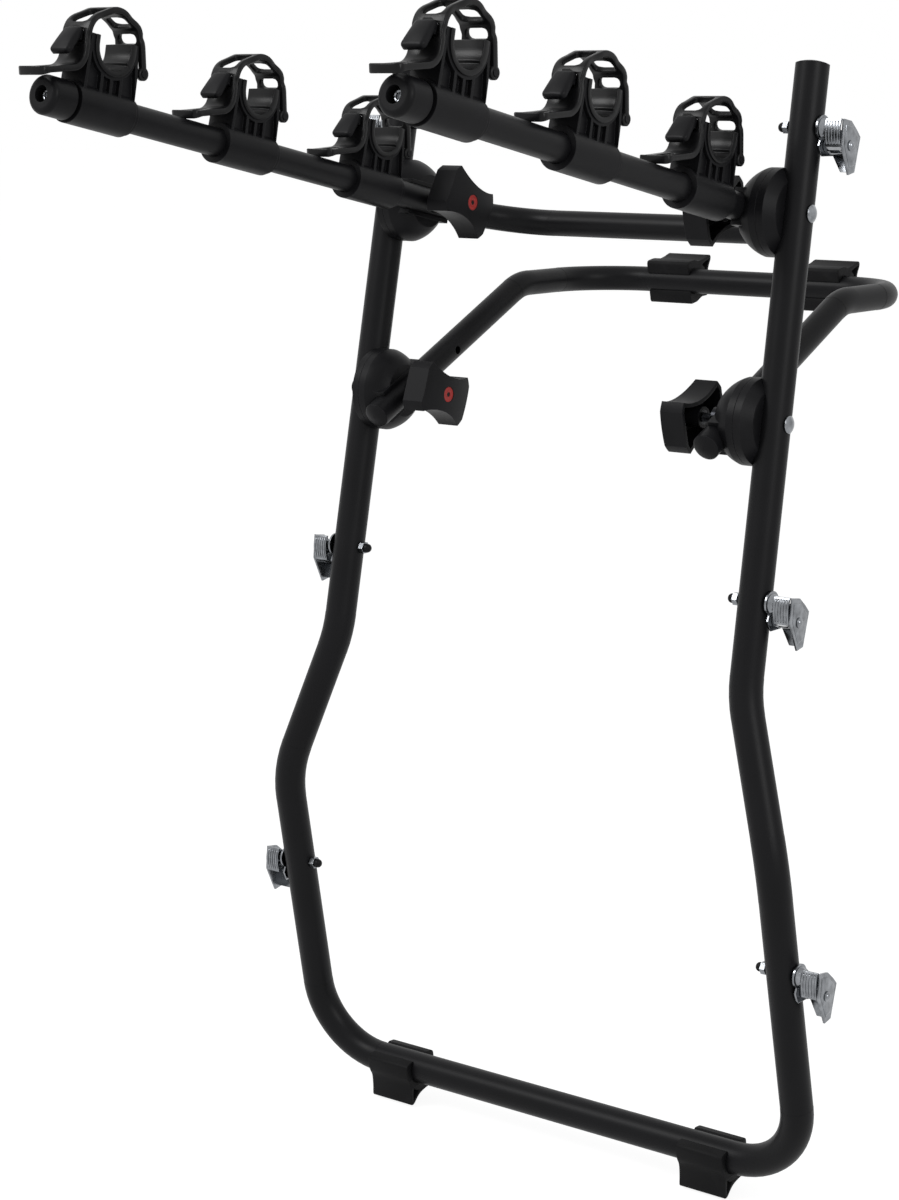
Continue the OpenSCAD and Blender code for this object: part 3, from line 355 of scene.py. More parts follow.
# One tree repeats a piece in a straight row, and first lays it along a path if it is given one:
# straps, liners and hook plates at the cradles of an arm, and the ribs across a lever
def makePieceRow():
    tree, given = startTree("pieceRow", (("Path", "Object"), ("Follow", "Bool"), ("Count", "Int"),
                                         ("First", "Vector"), ("Step", "Vector"), ("Tilt", "Float"),
                                         ("Finish", "Material")))
    path = addNode(tree, "GeometryNodeObjectInfo", {}, {"Object": given["Path"]})
    place = addNode(tree, "GeometryNodeInputPosition")
    parts = addNode(tree, "ShaderNodeSeparateXYZ", {}, {0: place.outputs["Position"]})
    along = addNode(tree, "GeometryNodeSampleCurve", {"mode": "LENGTH", "use_all_curves": True},
                    {"Curves": path.outputs["Geometry"], "Length": parts.outputs["Y"]})
    out = addNode(tree, "ShaderNodeVectorMath", {"operation": "CROSS_PRODUCT", 1: (1, 0, 0)},
                  {0: along.outputs["Tangent"]})
    lift = addNode(tree, "ShaderNodeVectorMath", {"operation": "SCALE"},
                   {0: out.outputs["Vector"], "Scale": parts.outputs["Z"]})
    across = addNode(tree, "ShaderNodeCombineXYZ", {}, {"X": parts.outputs["X"]})
    offset = addNode(tree, "ShaderNodeVectorMath", {"operation": "ADD"},
                     {0: lift.outputs["Vector"], 1: across.outputs["Vector"]})
    bentPlace = addNode(tree, "ShaderNodeVectorMath", {"operation": "ADD"},
                        {0: along.outputs["Position"], 1: offset.outputs["Vector"]})
    bent = addNode(tree, "GeometryNodeSetPosition", {},
                   {"Geometry": given["Geometry"], "Selection": given["Follow"],
                    "Position": bentPlace.outputs["Vector"]})
    row = addNode(tree, "GeometryNodeMeshLine", {"mode": "OFFSET"},
                  {"Count": given["Count"], "Start Location": given["First"], "Offset": given["Step"]})
    lean = addNode(tree, "ShaderNodeCombineXYZ", {}, {"X": given["Tilt"]})
    leant = addNode(tree, "FunctionNodeEulerToRotation", {}, {"Euler": lean.outputs["Vector"]})
    placed = addNode(tree, "GeometryNodeInstanceOnPoints", {},
                     {"Points": row.outputs["Mesh"], "Instance": bent.outputs["Geometry"],
                      "Rotation": leant.outputs["Rotation"]})
    return endTree(tree, placed, given["Finish"])


pieceRow = makePieceRow()


def setInputs(obj, tree, values):
    modifier = obj.modifiers.new(tree.name, "NODES")
    modifier.node_group = tree
    ids = {item.name: item.identifier for item in tree.interface.items_tree
           if item.item_type == "SOCKET" and item.in_out == "INPUT"}
    for key, value in values.items():
        if value is not None:
            modifier[ids[key]] = value


def rowOnArm(name, mesh, side, finish, path=None):
    obj = newObject(name, mesh.copy())
    setInputs(obj, pieceRow, {"Path": path, "Follow": path is not None, "Count": armSizes["cradles"],
                              "First": alongArm(side, armSizes["start"]) * mm,
                              "Step": armForward * armSizes["pitch"] * mm, "Tilt": -tilt, "Finish": finish})
    return settled(obj, name)


# A path of straight runs and round bends in the plane of the arm; also where each bend starts and ends
def roundedPath(corners, radii, turnStep=5.0):
    points, marks = [Vector(corners[0])], []
    for i, radius in enumerate(radii, 1):
        before = (Vector(corners[i]) - Vector(corners[i - 1])).normalized()
        after = (Vector(corners[i + 1]) - Vector(corners[i])).normalized()
        angle = math.atan2(before.x * after.y - before.y * after.x, before.dot(after))
        start = Vector(corners[i]) - before * radius * math.tan(abs(angle) / 2)
        centre = start + Vector((-before.y, before.x)) * math.copysign(radius, angle)
        steps = max(2, round(math.degrees(abs(angle)) / turnStep))
        sofar = sum((b - a).length for a, b in zip(points, points[1:])) + (start - points[-1]).length
        for k in range(steps + 1):
            points.append(centre + Matrix.Rotation(angle * k / steps, 2) @ (start - centre))
        marks.append((sofar, sofar + radius * abs(angle)))
    points.append(Vector(corners[-1]))
    return points, marks


def pathObject(name, points):
    data = bpy.data.curves.new(name, "CURVE")
    data.dimensions = "3D"
    line = data.splines.new("POLY")
    line.points.add(len(points) - 1)
    for spot, p in zip(line.points, points):
        spot.co = (0, p.x * mm, p.y * mm, 1)
    return newObject(name, data)


# A slab from its top faces: every vertex has its partner below it at the next index
def closeSlab(name, verts, tops):
    used = {}
    for face in tops:
        for a, b in zip(face, face[1:] + face[:1]):
            used[(a, b)] = used.get((a, b), 0) + 1
    faces = list(tops) + [tuple(v + 1 for v in reversed(face)) for face in tops]
    faces += [(a, a + 1, b + 1, b) for a, b in used if (b, a) not in used]
    live = sorted({v for face in faces for v in face})
    index = {v: k for k, v in enumerate(live)}
    return meshFrom(name, [verts[v] for v in live], [tuple(index[v] for v in face) for face in faces])


# The top faces of a full grid of such pairs, this many columns wide
def gridTops(rows, columns):
    tops = []
    for r in range(rows - 1):
        for c in range(columns - 1):
            p, q = 2 * (r * columns + c), 2 * ((r + 1) * columns + c)
            tops.append((p, p + 2, q + 2, q))
    return tops


# How far a corner of this radius has opened at a distance from its start
def quarterRound(radius, distance):
    return math.sqrt(max(0.0, radius ** 2 - max(0.0, radius - distance) ** 2))


# Ladder strap: two rails with rungs, over the peg at the rear, hooked in front, with a thick pull tab
towerSizes = {"top": 57.0, "front": -27.6, "rear": 26.0, "arch": 80.5, "peg": (35.5, 36.0), "tab": 46.0}
courseSizes = {"gap": 0.5, "rearOut": 4.3, "rearUp": 1, "shoulderIn": 2, "shoulderUp": 5, "archHalf": 4.5,
               "frontUp": 10, "frontLean": 2, "hookDrop": 29.5, "tabDrop": 41.5,
               "bends": (12, 8, 14, 14, 17, 16)}
strapSizes = {"width": 30.6, "window": 20.0, "inner": 2.25, "outer": 2.95, "fillet": 4.0, "scallop": 0.8,
              "gripThick": 7.6, "gripLong": 9.75, "fingerLong": 21.0, "fingerWide": 11.0, "rung": 6.0,
              "ribPitch": 2.6, "ribHigh": 0.5, "ribLead": 4, "ribStop": 1.5, "tipRound": 5.0, "edge": 1.0,
              "eyeEnd": 13.4, "windowEnd": 1.0, "hookBack": 1.5, "seam": 1.2, "seamSpread": 4.8,
              "seamLong": 6}
# Rows of vertices: nearer together by the corners of the windows and at the tip, else a step apart
strapRows = {"corner": (0, 0.4, 1.2, 2.4, 4.0), "tip": (1.4, 3.0, 5.0), "step": 2.0, "clear": 0.9}


def strapCourse():
    t, c = towerSizes, courseSizes
    front = t["front"] - c["gap"] - strapSizes["inner"]
    foot = front - c["frontLean"]
    corners = [t["peg"], (t["rear"] + c["rearOut"], t["top"] + c["rearUp"]),
               (t["rear"] - c["shoulderIn"], (t["top"] + t["arch"] + c["shoulderUp"]) / 2),
               (c["archHalf"], t["arch"]), (-c["archHalf"], t["arch"]), (front, t["top"] + c["frontUp"]),
               (foot, t["top"] - c["hookDrop"]), (foot - t["tab"], t["top"] - c["tabDrop"])]
    return roundedPath(corners, c["bends"])


def makeFlatStrap():
    z = strapSizes
    points, marks = strapCourse()
    total = sum((b - a).length for a, b in zip(points, points[1:]))
    half, windowHalf, end = z["width"] / 2, z["window"] / 2, z["windowEnd"]
    hookTop = marks[4][1] - z["hookBack"]
    windows = [(-end, z["eyeEnd"]), (marks[0][1] + end, marks[1][0] - end),
               (marks[1][1] + end, marks[2][0] - end), (marks[3][1] + end / 2, hookTop - z["rung"]),
               (hookTop, marks[5][0] - z["rung"] - end)]
    finger = (total - z["gripThick"] - z["fingerLong"], total - z["gripThick"])
    ribFrom, ribTo = marks[5][1] - z["ribLead"], finger[0] - z["ribStop"]

    def holeHalf(s):
        # half width of the opening at this place, or None where the strap is solid
        for a, b in windows:
            if a <= s <= b:
                r = min(z["fillet"], (b - a) / 2)
                return windowHalf - r + quarterRound(r, min(s - a, b - s) if a > 0 else b - s)
        if finger[0] <= s <= finger[1]:
            return max(z["seam"], quarterRound(z["fingerWide"] / 2, min(s - finger[0], finger[1] - s)))
        return None

    def outerHalf(s):
        for a, b in windows[1:]:
            if a <= s <= b:
                return half - z["scallop"] * math.sin(math.pi * (s - a) / (b - a)) ** 2
        return half - z["tipRound"] + quarterRound(z["tipRound"], total - s)

    stops = {0.0, total}
    for a, b in windows + [finger]:
        near = [d for d in strapRows["corner"] if d < (b - a) / 2]
        stops |= {max(0, a + d) for d in near} | {b - d for d in near}
    quarter = z["ribPitch"] / 4
    stops |= {ribFrom + quarter * k for k in range(int((ribTo - ribFrom) / z["ribPitch"] * 4) + 1)}
    stops |= {total - d for d in strapRows["tip"]}
    for k in range(int(total / strapRows["step"])):
        if min(abs(strapRows["step"] * k - t) for t in stops) > strapRows["clear"]:
            stops.add(strapRows["step"] * k)
    stops = sorted(stops)
    verts, rows = [], []
    for s in stops:
        split = holeHalf(s)
        if split is None:
            closing = max(0, min(1, (finger[0] - s) / z["seamLong"])) if s < finger[1] else 0
            split = z["seam"] + z["seamSpread"] * closing
        outer = outerHalf(s)
        grip = max(0, (s - total + z["gripLong"]) / z["gripLong"])
        top = z["outer"] + grip * (z["gripThick"] / 2 - z["outer"])
        bottom = z["inner"] + grip * (z["gripThick"] / 2 - z["inner"])
        wave = 0.5 - 0.5 * math.cos(2 * math.pi * (s - ribFrom) / z["ribPitch"])
        rib = wave * z["ribHigh"] if ribFrom <= s <= ribTo else 0.0
        rows.append([len(verts) + 2 * c for c in range(6)])
        for c, x in enumerate([-outer, -split, -split / 3, split / 3, split, outer]):
            raised = rib if 0 < c < 5 else 0.0
            verts += [(x * mm, s * mm, (top + raised) * mm), (x * mm, s * mm, -bottom * mm)]
    tops = []
    for r in range(len(stops) - 1):
        solid = holeHalf((stops[r] + stops[r + 1]) / 2) is None
        for c in range(5) if solid else (0, 4):
            tops.append((rows[r][c], rows[r][c + 1], rows[r + 1][c + 1], rows[r + 1][c]))
    return points, closeSlab("flatStrap", verts, tops)


# A ring or a turned piece: the profile (radius, along) is turned round the x axis at (y, z).
# A third value in a row gives it six flats, as in the socket of a screw.
def turned(verts, faces, profile, centre, steps, closed=False):
    first = len(verts)
    for k in range(steps):
        a = 2 * math.pi * k / steps
        flats = math.cos(a % (math.pi / 3) - math.pi / 6)
        for r, x, *six in profile:
            r = r / flats if six else r
            verts.append(Vector((x, centre[0] + r * math.cos(a), centre[1] + r * math.sin(a))) * mm)
    n = len(profile)
    for k in range(steps):
        for i in range(n if closed else n - 1):
            j = (i + 1) % n
            p, q = first + k * n, first + (k + 1) % steps * n
            faces.append((p + i, p + j, q + j, q + i))
    return verts, faces


strapLine, flatStrap = makeFlatStrap()
strapPath = pathObject("strapPath", strapLine)
softStrap = softenEdges(newObject("flatStrap", flatStrap), strapSizes["edge"], 50)
print("flat strap made:", len(softStrap.data.polygons), "faces")

# Rubber eyes where the rails turn round the peg
eyeSizes = {"from": 10.0, "to": 15.0, "outer": 5.6, "inner": 3.15, "round": 0.8, "steps": 28}


def makeStrapEyes():
    z = eyeSizes
    verts, faces = [], []
    shoulder = z["outer"] - z["round"]
    for side in (-1, 1):
        a, b, lip = z["from"] * side, z["to"] * side, z["round"] * side
        profile = [(z["inner"], a), (shoulder, a), (z["outer"], a + lip), (z["outer"], b - lip),
                   (shoulder, b), (z["inner"], b)]
        turned(verts, faces, profile, towerSizes["peg"], z["steps"], True)
    return meshFrom("strapEyes", verts, faces)


strapEyes = makeStrapEyes()

# Rubber liner: a cushion in the bike tube's seat, ridged in front and smooth behind, with lips at its sides
linerSizes = {"width": 30.6, "bike": 19.0, "thick": 4.0, "centre": 50.0, "top": 57.0, "ridgePitch": 6.0,
              "ridge": 1.3, "ridgeFrom": 5, "ridgeTo": 0.36, "crown": 0.7, "lip": 0.6, "lipWide": 1.7,
              "inset": 0.05, "pillow": 2.2, "pillowAt": 0.92, "pillowRise": 0.035, "edge": 0.5,
              "columns": (8.0, 3.0), "rowStep": 0.75, "arcSteps": 36}


def makeFlatLiner():
    z = linerSizes
    middle = z["bike"] + z["thick"] / 2
    points = [Vector((-middle, z["top"]))]
    for k in range(z["arcSteps"] + 1):
        a = math.pi * k / z["arcSteps"]
        points.append(Vector((-middle * math.cos(a), z["centre"] - middle * math.sin(a))))
    points.append(Vector((middle, z["top"])))
    total = 2 * (z["top"] - z["centre"]) + math.pi * middle
    count = round(total / z["rowStep"])
    half = z["width"] / 2
    columns = [half, half - z["lipWide"], *z["columns"]]
    columns = [-x for x in columns] + columns[::-1]
    last = len(columns) - 1
    verts = []
    for k in range(count + 1):
        s = total * k / count
        saw = (s % z["ridgePitch"]) / z["ridgePitch"]
        ridge = z["ridge"] * (1 - saw) if z["ridgeFrom"] < s < total * z["ridgeTo"] else 0.0
        # the rear rises into a thicker pillow with a crisp lower edge
        climb = ((s - total / 2) / middle - z["pillowAt"]) / z["pillowRise"]
        pillow = z["pillow"] * max(0.0, min(1.0, climb))
        for c, x in enumerate(columns):
            crown = z["crown"] * (1 - (x / half) ** 2)
            under = z["thick"] / 2 + (z["lip"] if c in (0, last) else -z["inset"])
            over = z["thick"] / 2 + crown + pillow - (ridge if 0 < c < last else 0.0)
            verts += [(x * mm, s * mm, under * mm), (x * mm, s * mm, -over * mm)]
    return points, closeSlab("flatLiner", verts, gridTops(count + 1, len(columns)))


linerLine, flatLiner = makeFlatLiner()
linerPath = pathObject("linerPath", linerLine)
softLiner = softenEdges(newObject("flatLiner", flatLiner), linerSizes["edge"], 60)
print("flat liner made:", len(softLiner.data.polygons), "faces")

# Hook plate that the strap's window drops over: a crowned nylon tongue, wider towards its round lower end
hookSizes = {"high": (-33.5, 57.5), "low": (-46.5, 37.5), "topHalf": 9.8, "lowHalf": 11.4, "over": 2.2,
             "thick": 5.0, "back": 0.6, "corner": 4.8, "shoulder": 0.5, "crown": 1.6, "crownLead": 0.15,
             "edge": 2.6, "bevel": 0.4, "rows": 24, "rowCrowd": 1.5, "columns": 18}


def makeHookPlate():
    z = hookSizes
    high, low = Vector(z["high"]), Vector(z["low"])
    down = (low - high).normalized()
    outward = Vector((down.y, -down.x))
    length = (low - high).length + z["over"]
    verts = []
    for r in range(z["rows"] + 1):
        s = length * (1 - (1 - r / z["rows"]) ** z["rowCrowd"])
        half = z["topHalf"] + (z["lowHalf"] - z["topHalf"]) * s / length
        half -= z["corner"] - quarterRound(z["corner"], length - s)
        half -= z["shoulder"] - quarterRound(z["shoulder"], s)
        for c in range(z["columns"] + 1):
            t = math.sin(math.pi / 2 * (2 * c / z["columns"] - 1))
            rise = math.sin(math.pi * min(1, z["crownLead"] + (1 - z["crownLead"]) * s / length))
            crown = z["crown"] * (1 - t * t) * rise
            inset = max(0.0, 1 - min(half * (1 - abs(t)), length - s, s + 1) / z["edge"])
            crown -= z["edge"] * (1 - math.sqrt(max(0.0, 1 - inset * inset)))
            for n in (z["thick"] - z["back"] + crown, -z["back"]):
                spot = high + down * s + outward * n
                verts.append((half * t * mm, spot.x * mm, spot.y * mm))
    return closeSlab("hookPlate", verts, gridTops(z["rows"] + 1, z["columns"] + 1))


hookPlate = softenEdges(newObject("hookPlate", makeHookPlate()), hookSizes["bevel"], 60)

for side, word in sides:
    straps = rowOnArm(word + "Straps", softStrap.data, side, rubber, strapPath)
    eyes = rowOnArm(word + "StrapEyes", strapEyes, side, rubber)
    both = bmesh.new()
    both.from_mesh(straps.data)
    both.from_mesh(eyes.data)
    both.to_mesh(straps.data)
    both.free()
    bpy.data.objects.remove(eyes)
    wear(straps, "arms", "black_rubber", *["strap_%s_%d" % (word, i) for i in (1, 2, 3)])
    liners = rowOnArm(word + "Liners", softLiner.data, side, rubber, linerPath)
    wear(liners, "arms", "black_rubber", "liners_" + word)
    hooks = rowOnArm(word + "HookPlates", hookPlate.data, side, nylon)
    wear(hooks, "arms", "black_plastic")
for scrap in (softStrap, softLiner, hookPlate, strapPath, linerPath):
    bpy.data.objects.remove(scrap)
print("straps, liners and hook plates on both arms")

# Clip-on pads: jaws round the tube, a toe in front and a hollow contact face behind it.
# Their chambers are open at the ends.
padSizes = {"long": 50.0, "mouth": 42.0, "edge": 0.8, "clear": 0.1, "brow": 1.2, "browIn": 2.2,
            "boreSteps": 40, "smooth": 3, "sharp": 35}
padSide = [(-19.0, 11.0), (-21.6, 9.0), (-22.0, 5.0), (-21.9, 0.5), (-21.4, -4.0), (-20.0, -7.6),
           (-18.9, -10.6), (-18.5, -15.5), (-19.0, -24.0), (-19.9, -30.3), (-19.5, -33.1), (-17.0, -34.0),
           (-14.2, -33.0), (-11.2, -30.6), (-7.4, -27.9), (-2.6, -26.0), (3.2, -25.0), (9.4, -24.6),
           (15.4, -24.4), (18.6, -23.4), (20.0, -20.8), (19.6, -16.5), (19.2, -11.5), (20.4, -6.8),
           (21.8, -2.0), (22.0, 4.0), (21.6, 9.0), (19.0, 11.0)]
padHoles = [[(-13.6, -17.4), (-15.6, -28.4), (-14.6, -29.6), (-8.2, -24.4), (-6.6, -21.8), (-10.4, -20.4)],
            [(7.4, -21.2), (15.8, -20.8), (16.2, -14.8), (13.6, -16.0), (10.6, -18.4)]]
padPlaces = {"lowerPads": {"tube": 30.0, "flip": 1, "y": -4.7319, "z": 33.6691, "turn": 8.0, "body": "frame",
                           "node": "lower_pads"},
             "upperPads": {"tube": 25.0, "flip": -1, "y": 328.0342, "z": 807.6691, "turn": 101.0,
                           "body": "stand_off", "node": "upper_pads"}}


def smoothLine(spots, steps, closed):
    # a Catmull-Rom curve through the spots
    n, line = len(spots), []
    for i in range(n if closed else n - 1):
        four = [k % n if closed else min(max(k, 0), n - 1) for k in (i - 1, i, i + 1, i + 2)]
        a, b, c, d = [Vector(spots[k]) for k in four]
        for k in range(steps):
            t = k / steps
            bend = (2 * a - 5 * b + 4 * c - d) * t * t + (3 * b - a - 3 * c + d) * t ** 3
            line.append(0.5 * (2 * b + (c - a) * t + bend))
    return line if closed else line + [Vector(spots[-1])]


def padRings(place):
    z = padSizes
    inner = place["tube"] / 2 + z["clear"]
    gape = math.radians(z["mouth"])
    turns = [gape + (2 * math.pi - 2 * gape) * k / z["boreSteps"] for k in range(z["boreSteps"] + 1)]
    bore = [Vector((inner * math.sin(a), inner * math.cos(a))) for a in turns]
    brow = bore[-1].y + z["brow"]
    side = smoothLine([(x, min(y, brow)) for x, y in padSide], z["smooth"], False)
    front, rear = Vector((bore[-1].x - z["browIn"], brow)), Vector((bore[0].x + z["browIn"], brow))
    rings = [bore + [front] + side + [rear]] + [smoothLine(hole, z["smooth"], True) for hole in padHoles]
    return [[(place["flip"] * x, y) for x, y in ring] for ring in rings]


def makePads(name, place):
    z = padSizes
    data = bpy.data.curves.new(name, "CURVE")
    data.dimensions = "2D"
    data.fill_mode = "BOTH"
    data.extrude = (z["long"] / 2 - z["edge"]) * mm
    data.offset = -z["edge"] * mm
    data.bevel_depth = z["edge"] * mm
    data.bevel_resolution = 1
    for ring in padRings(place):
        spline = data.splines.new("POLY")
        spline.points.add(len(ring) - 1)
        for spot, (x, y) in zip(spline.points, ring):
            spot.co = (x * mm, y * mm, 0, 1)
        spline.use_cyclic_u = True
    block = settled(newObject(name, data), name)
    mesh = block.data
    bpy.data.objects.remove(block)
    # the profile's x is the CAD's y and its y the CAD's z, then the pad turns on its tube
    stand = Matrix(((0, 0, 1, 0), (1, 0, 0, 0), (0, 1, 0, 0), (0, 0, 0, 1)))
    mesh.transform(Matrix.Rotation(math.radians(place["turn"]), 4, "X") @ stand)
    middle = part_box(place["node"])[1][0] - z["long"] / 2 * mm
    pair = bmesh.new()
    for sign in (-1, 1):
        one = mesh.copy()
        one.transform(Matrix.Translation((sign * middle, place["y"] * mm, place["z"] * mm)))
        pair.from_mesh(one)
    weld(pair)
    pair.to_mesh(mesh)
    pair.free()
    mesh.materials.clear()
    mesh.materials.append(mattRubber)
    mesh.shade_smooth()
    mesh.set_sharp_from_angle(angle=math.radians(z["sharp"]))
    wear(newObject(name, mesh), place["body"], "black_rubber", place["node"])


for name, place in padPlaces.items():
    makePads(name, place)
print("pads made")


# One tree sets a small turned piece on each of its spots and points it along an axis mirrored by side
def makeFastenerSet():
    tree, given = startTree("fastenerSet", (("Shape", "Object"), ("Axis", "Vector"), ("Finish", "Material")))
    place = addNode(tree, "GeometryNodeInputPosition")
    parts = addNode(tree, "ShaderNodeSeparateXYZ", {}, {0: place.outputs["Position"]})
    hand = addNode(tree, "ShaderNodeMath", {"operation": "SIGN"}, {0: parts.outputs["X"]})
    mirror = addNode(tree, "ShaderNodeCombineXYZ", {"Y": 1.0, "Z": 1.0}, {"X": hand.outputs["Value"]})
    way = addNode(tree, "ShaderNodeVectorMath", {"operation": "MULTIPLY"},
                  {0: given["Axis"], 1: mirror.outputs["Vector"]})
    turn = addNode(tree, "FunctionNodeAlignRotationToVector", {"axis": "X"},
                   {"Vector": way.outputs["Vector"]})
    shape = addNode(tree, "GeometryNodeObjectInfo", {}, {"Object": given["Shape"]})
    placed = addNode(tree, "GeometryNodeInstanceOnPoints", {},
                     {"Points": given["Geometry"], "Instance": shape.outputs["Geometry"],
                      "Rotation": turn.outputs["Rotation"]})
    return endTree(tree, placed, given["Finish"])


fastenerSet = makeFastenerSet()
fastenerSharp = 38  # degrees between faces from which an edge shows


def setFasteners(name, mesh, spots, axis, finish):
    shape = newObject(name + "Shape", mesh)
    cloud = bpy.data.meshes.new(name)
    cloud.from_pydata([tuple(Vector(spot) * mm) for spot in spots], [], [])
    obj = newObject(name, cloud)
    setInputs(obj, fastenerSet, {"Shape": shape, "Axis": axis, "Finish": finish})
    obj = settled(obj, name)
    bpy.data.objects.remove(shape)
    obj.data.shade_smooth()
    obj.data.set_sharp_from_angle(angle=math.radians(fastenerSharp))
    return obj


def turnedMesh(name, profile, steps):
    return meshFrom(name, *turned([], [], profile, (0, 0), steps))


# Domed rivets on the cam pins, domed thread caps inside the legs and socket screws in the arms' end caps
buckleSizes = {"earRound": 11.0, "pinY": 5.6, "pinZ": -15.0, "reach": 25.4, "nutFace": -35.9,
               "rivetSeat": 0.85}
rivetShape = [(0, 3.1), (1.5, 2.9), (2.6, 2.4), (3.2, 1.75), (3.35, 1.5), (4.2, 1.5), (4.7, 1.1), (4.7, 0.05),
              (0, 0.05)]
nutShape = [(0, 6.0), (1.6, 5.8), (2.9, 5.2), (3.8, 4.2), (4.25, 2.9), (4.3, 1.6), (4.3, 0.4), (4.0, 0.05),
            (0, 0.05)]
screwShape = [(0, 5.2), (2.3, 5.2, 6), (2.5, 6.9, 6), (2.9, 7.1), (4.4, 7.1), (5.0, 6.5), (5.0, 4.1),
              (0, 4.1)]
pins, nuts, buckles = [], [], []
for level in ("upper", "middle", "lower"):
    for side, word in sides:
        z = buckleSizes
        lowest, highest = [Vector(p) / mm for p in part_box("buckle_%s_%s" % (level, word))]
        cheek = highest.x if side > 0 else lowest.x
        boltY, boltZ = lowest.y + z["earRound"], highest.z - z["earRound"]
        pins.append((cheek + side * z["rivetSeat"], boltY + z["pinY"], boltZ + z["pinZ"]))
        nuts.append((cheek - side * (z["reach"] - z["nutFace"]), boltY, boltZ))
        buckles.append((level + "_" + word, side, cheek, boltY, boltZ))
rivets = setFasteners("pinRivets", turnedMesh("rivet", rivetShape, 32), pins, (1, 0, 0), turnedZinc)
wear(rivets, "frame", "bright_hardware")
domes = setFasteners("domedNuts", turnedMesh("dome", nutShape, 32), nuts, (-1, 0, 0), nylon)
wear(domes, "frame", "black_plastic", "nut_caps")
tips = [alongArm(side, armSizes["length"]) for side in (-1, 1)]
screws = setFasteners("capScrewHeads", turnedMesh("screw", screwShape, 48), tips, armForward, turnedZinc)
wear(screws, "arms", "bright_hardware", "cap_screws")

# Pressed panel on each outer cheek, a raised stiffening in the outline of the cheek
cheekOutline = [(-5, 8), (8, 6), (18, -2), (24, -8), (15, -38), (5, -40), (-7, -15)]
panelSizes = {"foot": 0.8, "top": 0.72, "high": 0.9, "sunk": 0.1, "edge": 0.5}


def makePanels():
    z = panelSizes
    middle = sum((Vector(p) for p in cheekOutline), Vector((0, 0))) / len(cheekOutline)
    n, verts, faces = len(cheekOutline), [], []
    for word, side, cheek, boltY, boltZ in buckles:
        first = len(verts)
        for share, out in ((z["foot"], -z["sunk"]), (z["top"], z["high"])):
            for p in cheekOutline:
                spot = middle + (Vector(p) - middle) * share
                verts.append(Vector((cheek + side * out, boltY + spot.x, boltZ + spot.y)) * mm)
        faces += [tuple(range(first, first + n)), tuple(range(first + n, first + 2 * n))]
        for k in range(n):
            j = (k + 1) % n
            faces.append((first + k, first + j, first + n + j, first + n + k))
    return meshFrom("cheekPanels", verts, faces)


panels = softenEdges(newObject("cheekPanels", makePanels()), panelSizes["edge"], 25)
panels.data.materials.append(zinc)
wear(panels, "frame", "zinc_sheet")

# Thumb ribs on each lever: a rib follows the thumb plate's arc and the row tree repeats it across the plate
ribSizes = {"centre": (12.0, 11.0), "round": 26.5, "from": 0.5, "to": 21.5, "wide": 1.2, "flat": 0.3,
            "proud": 0.75, "endProud": 0.15, "sunk": 0.3, "first": 10.0, "pitch": 2.75, "count": 5,
            "steps": 16}


def makeRib():
    z = ribSizes
    verts, faces = [], []
    for k in range(z["steps"] + 1):
        high = z["from"] + (z["to"] - z["from"]) * k / z["steps"]
        swing = math.asin((high - z["centre"][1]) / z["round"])
        proud = z["proud"] * min(1.0, z["endProud"] + min(k, z["steps"] - k) / 2)
        section = ((-0.5, -z["sunk"]), (-0.5, 0.5 * proud), (-z["flat"], proud), (z["flat"], proud),
                   (0.5, 0.5 * proud), (0.5, -z["sunk"]))
        for x, r in section:
            y = z["centre"][0] - (z["round"] + r) * math.cos(swing)
            up = z["centre"][1] + (z["round"] + r) * math.sin(swing)
            verts.append(Vector((x * z["wide"], y, up)) * mm)
    n = len(section)
    for k in range(z["steps"]):
        for i in range(n):
            j = (i + 1) % n
            faces.append((n * k + i, n * k + j, n * k + n + j, n * k + n + i))
    last = n * z["steps"]
    return meshFrom("thumbRib", verts, faces + [tuple(range(n)), tuple(range(last, last + n))])


rib = makeRib()
for word, side, cheek, boltY, boltZ in buckles:
    obj = newObject("thumbRibs_" + word, rib.copy())
    inner = cheek - side * (buckleSizes["reach"] - ribSizes["first"])
    spot = Vector((inner, boltY + buckleSizes["pinY"], boltZ + buckleSizes["pinZ"]))
    setInputs(obj, pieceRow, {"Follow": False, "Count": ribSizes["count"], "First": spot * mm,
                              "Step": Vector((side * ribSizes["pitch"], 0, 0)) * mm, "Tilt": 0.0,
                              "Finish": zinc})
    wear(settled(obj, obj.name), "lever_" + word, "zinc_sheet")
print("buckles dressed")

# Rolled thread on the bare length of each hinge bolt, between the saddle washer and the knob
threadSizes = {"core": 4.03, "deep": 0.5, "pitch": 1.25, "from": 0.15, "to": 12.85, "rows": 60, "around": 36}


def makeThread():
    z = threadSizes
    around = z["around"]
    verts, faces = [(z["from"] * mm, 0, 0)], []
    for r in range(z["rows"] + 1):
        x = z["from"] + (z["to"] - z["from"]) * r / z["rows"]
        for k in range(around):
            phase = (x / z["pitch"] - k / around) % 1
            radius = z["core"] + z["deep"] * (1 - abs(2 * phase - 1))
            a = 2 * math.pi * k / around
            verts.append(Vector((x, radius * math.cos(a), radius * math.sin(a))) * mm)
    verts.append((z["to"] * mm, 0, 0))
    for k in range(around):
        j = (k + 1) % around
        faces.append((0, 1 + j, 1 + k))
        for r in range(z["rows"]):
            p = 1 + r * around
            faces.append((p + k, p + j, p + around + j, p + around + k))
        p = 1 + z["rows"] * around
        faces.append((len(verts) - 1, p + k, p + j))
    return meshFrom("thread", verts, faces)


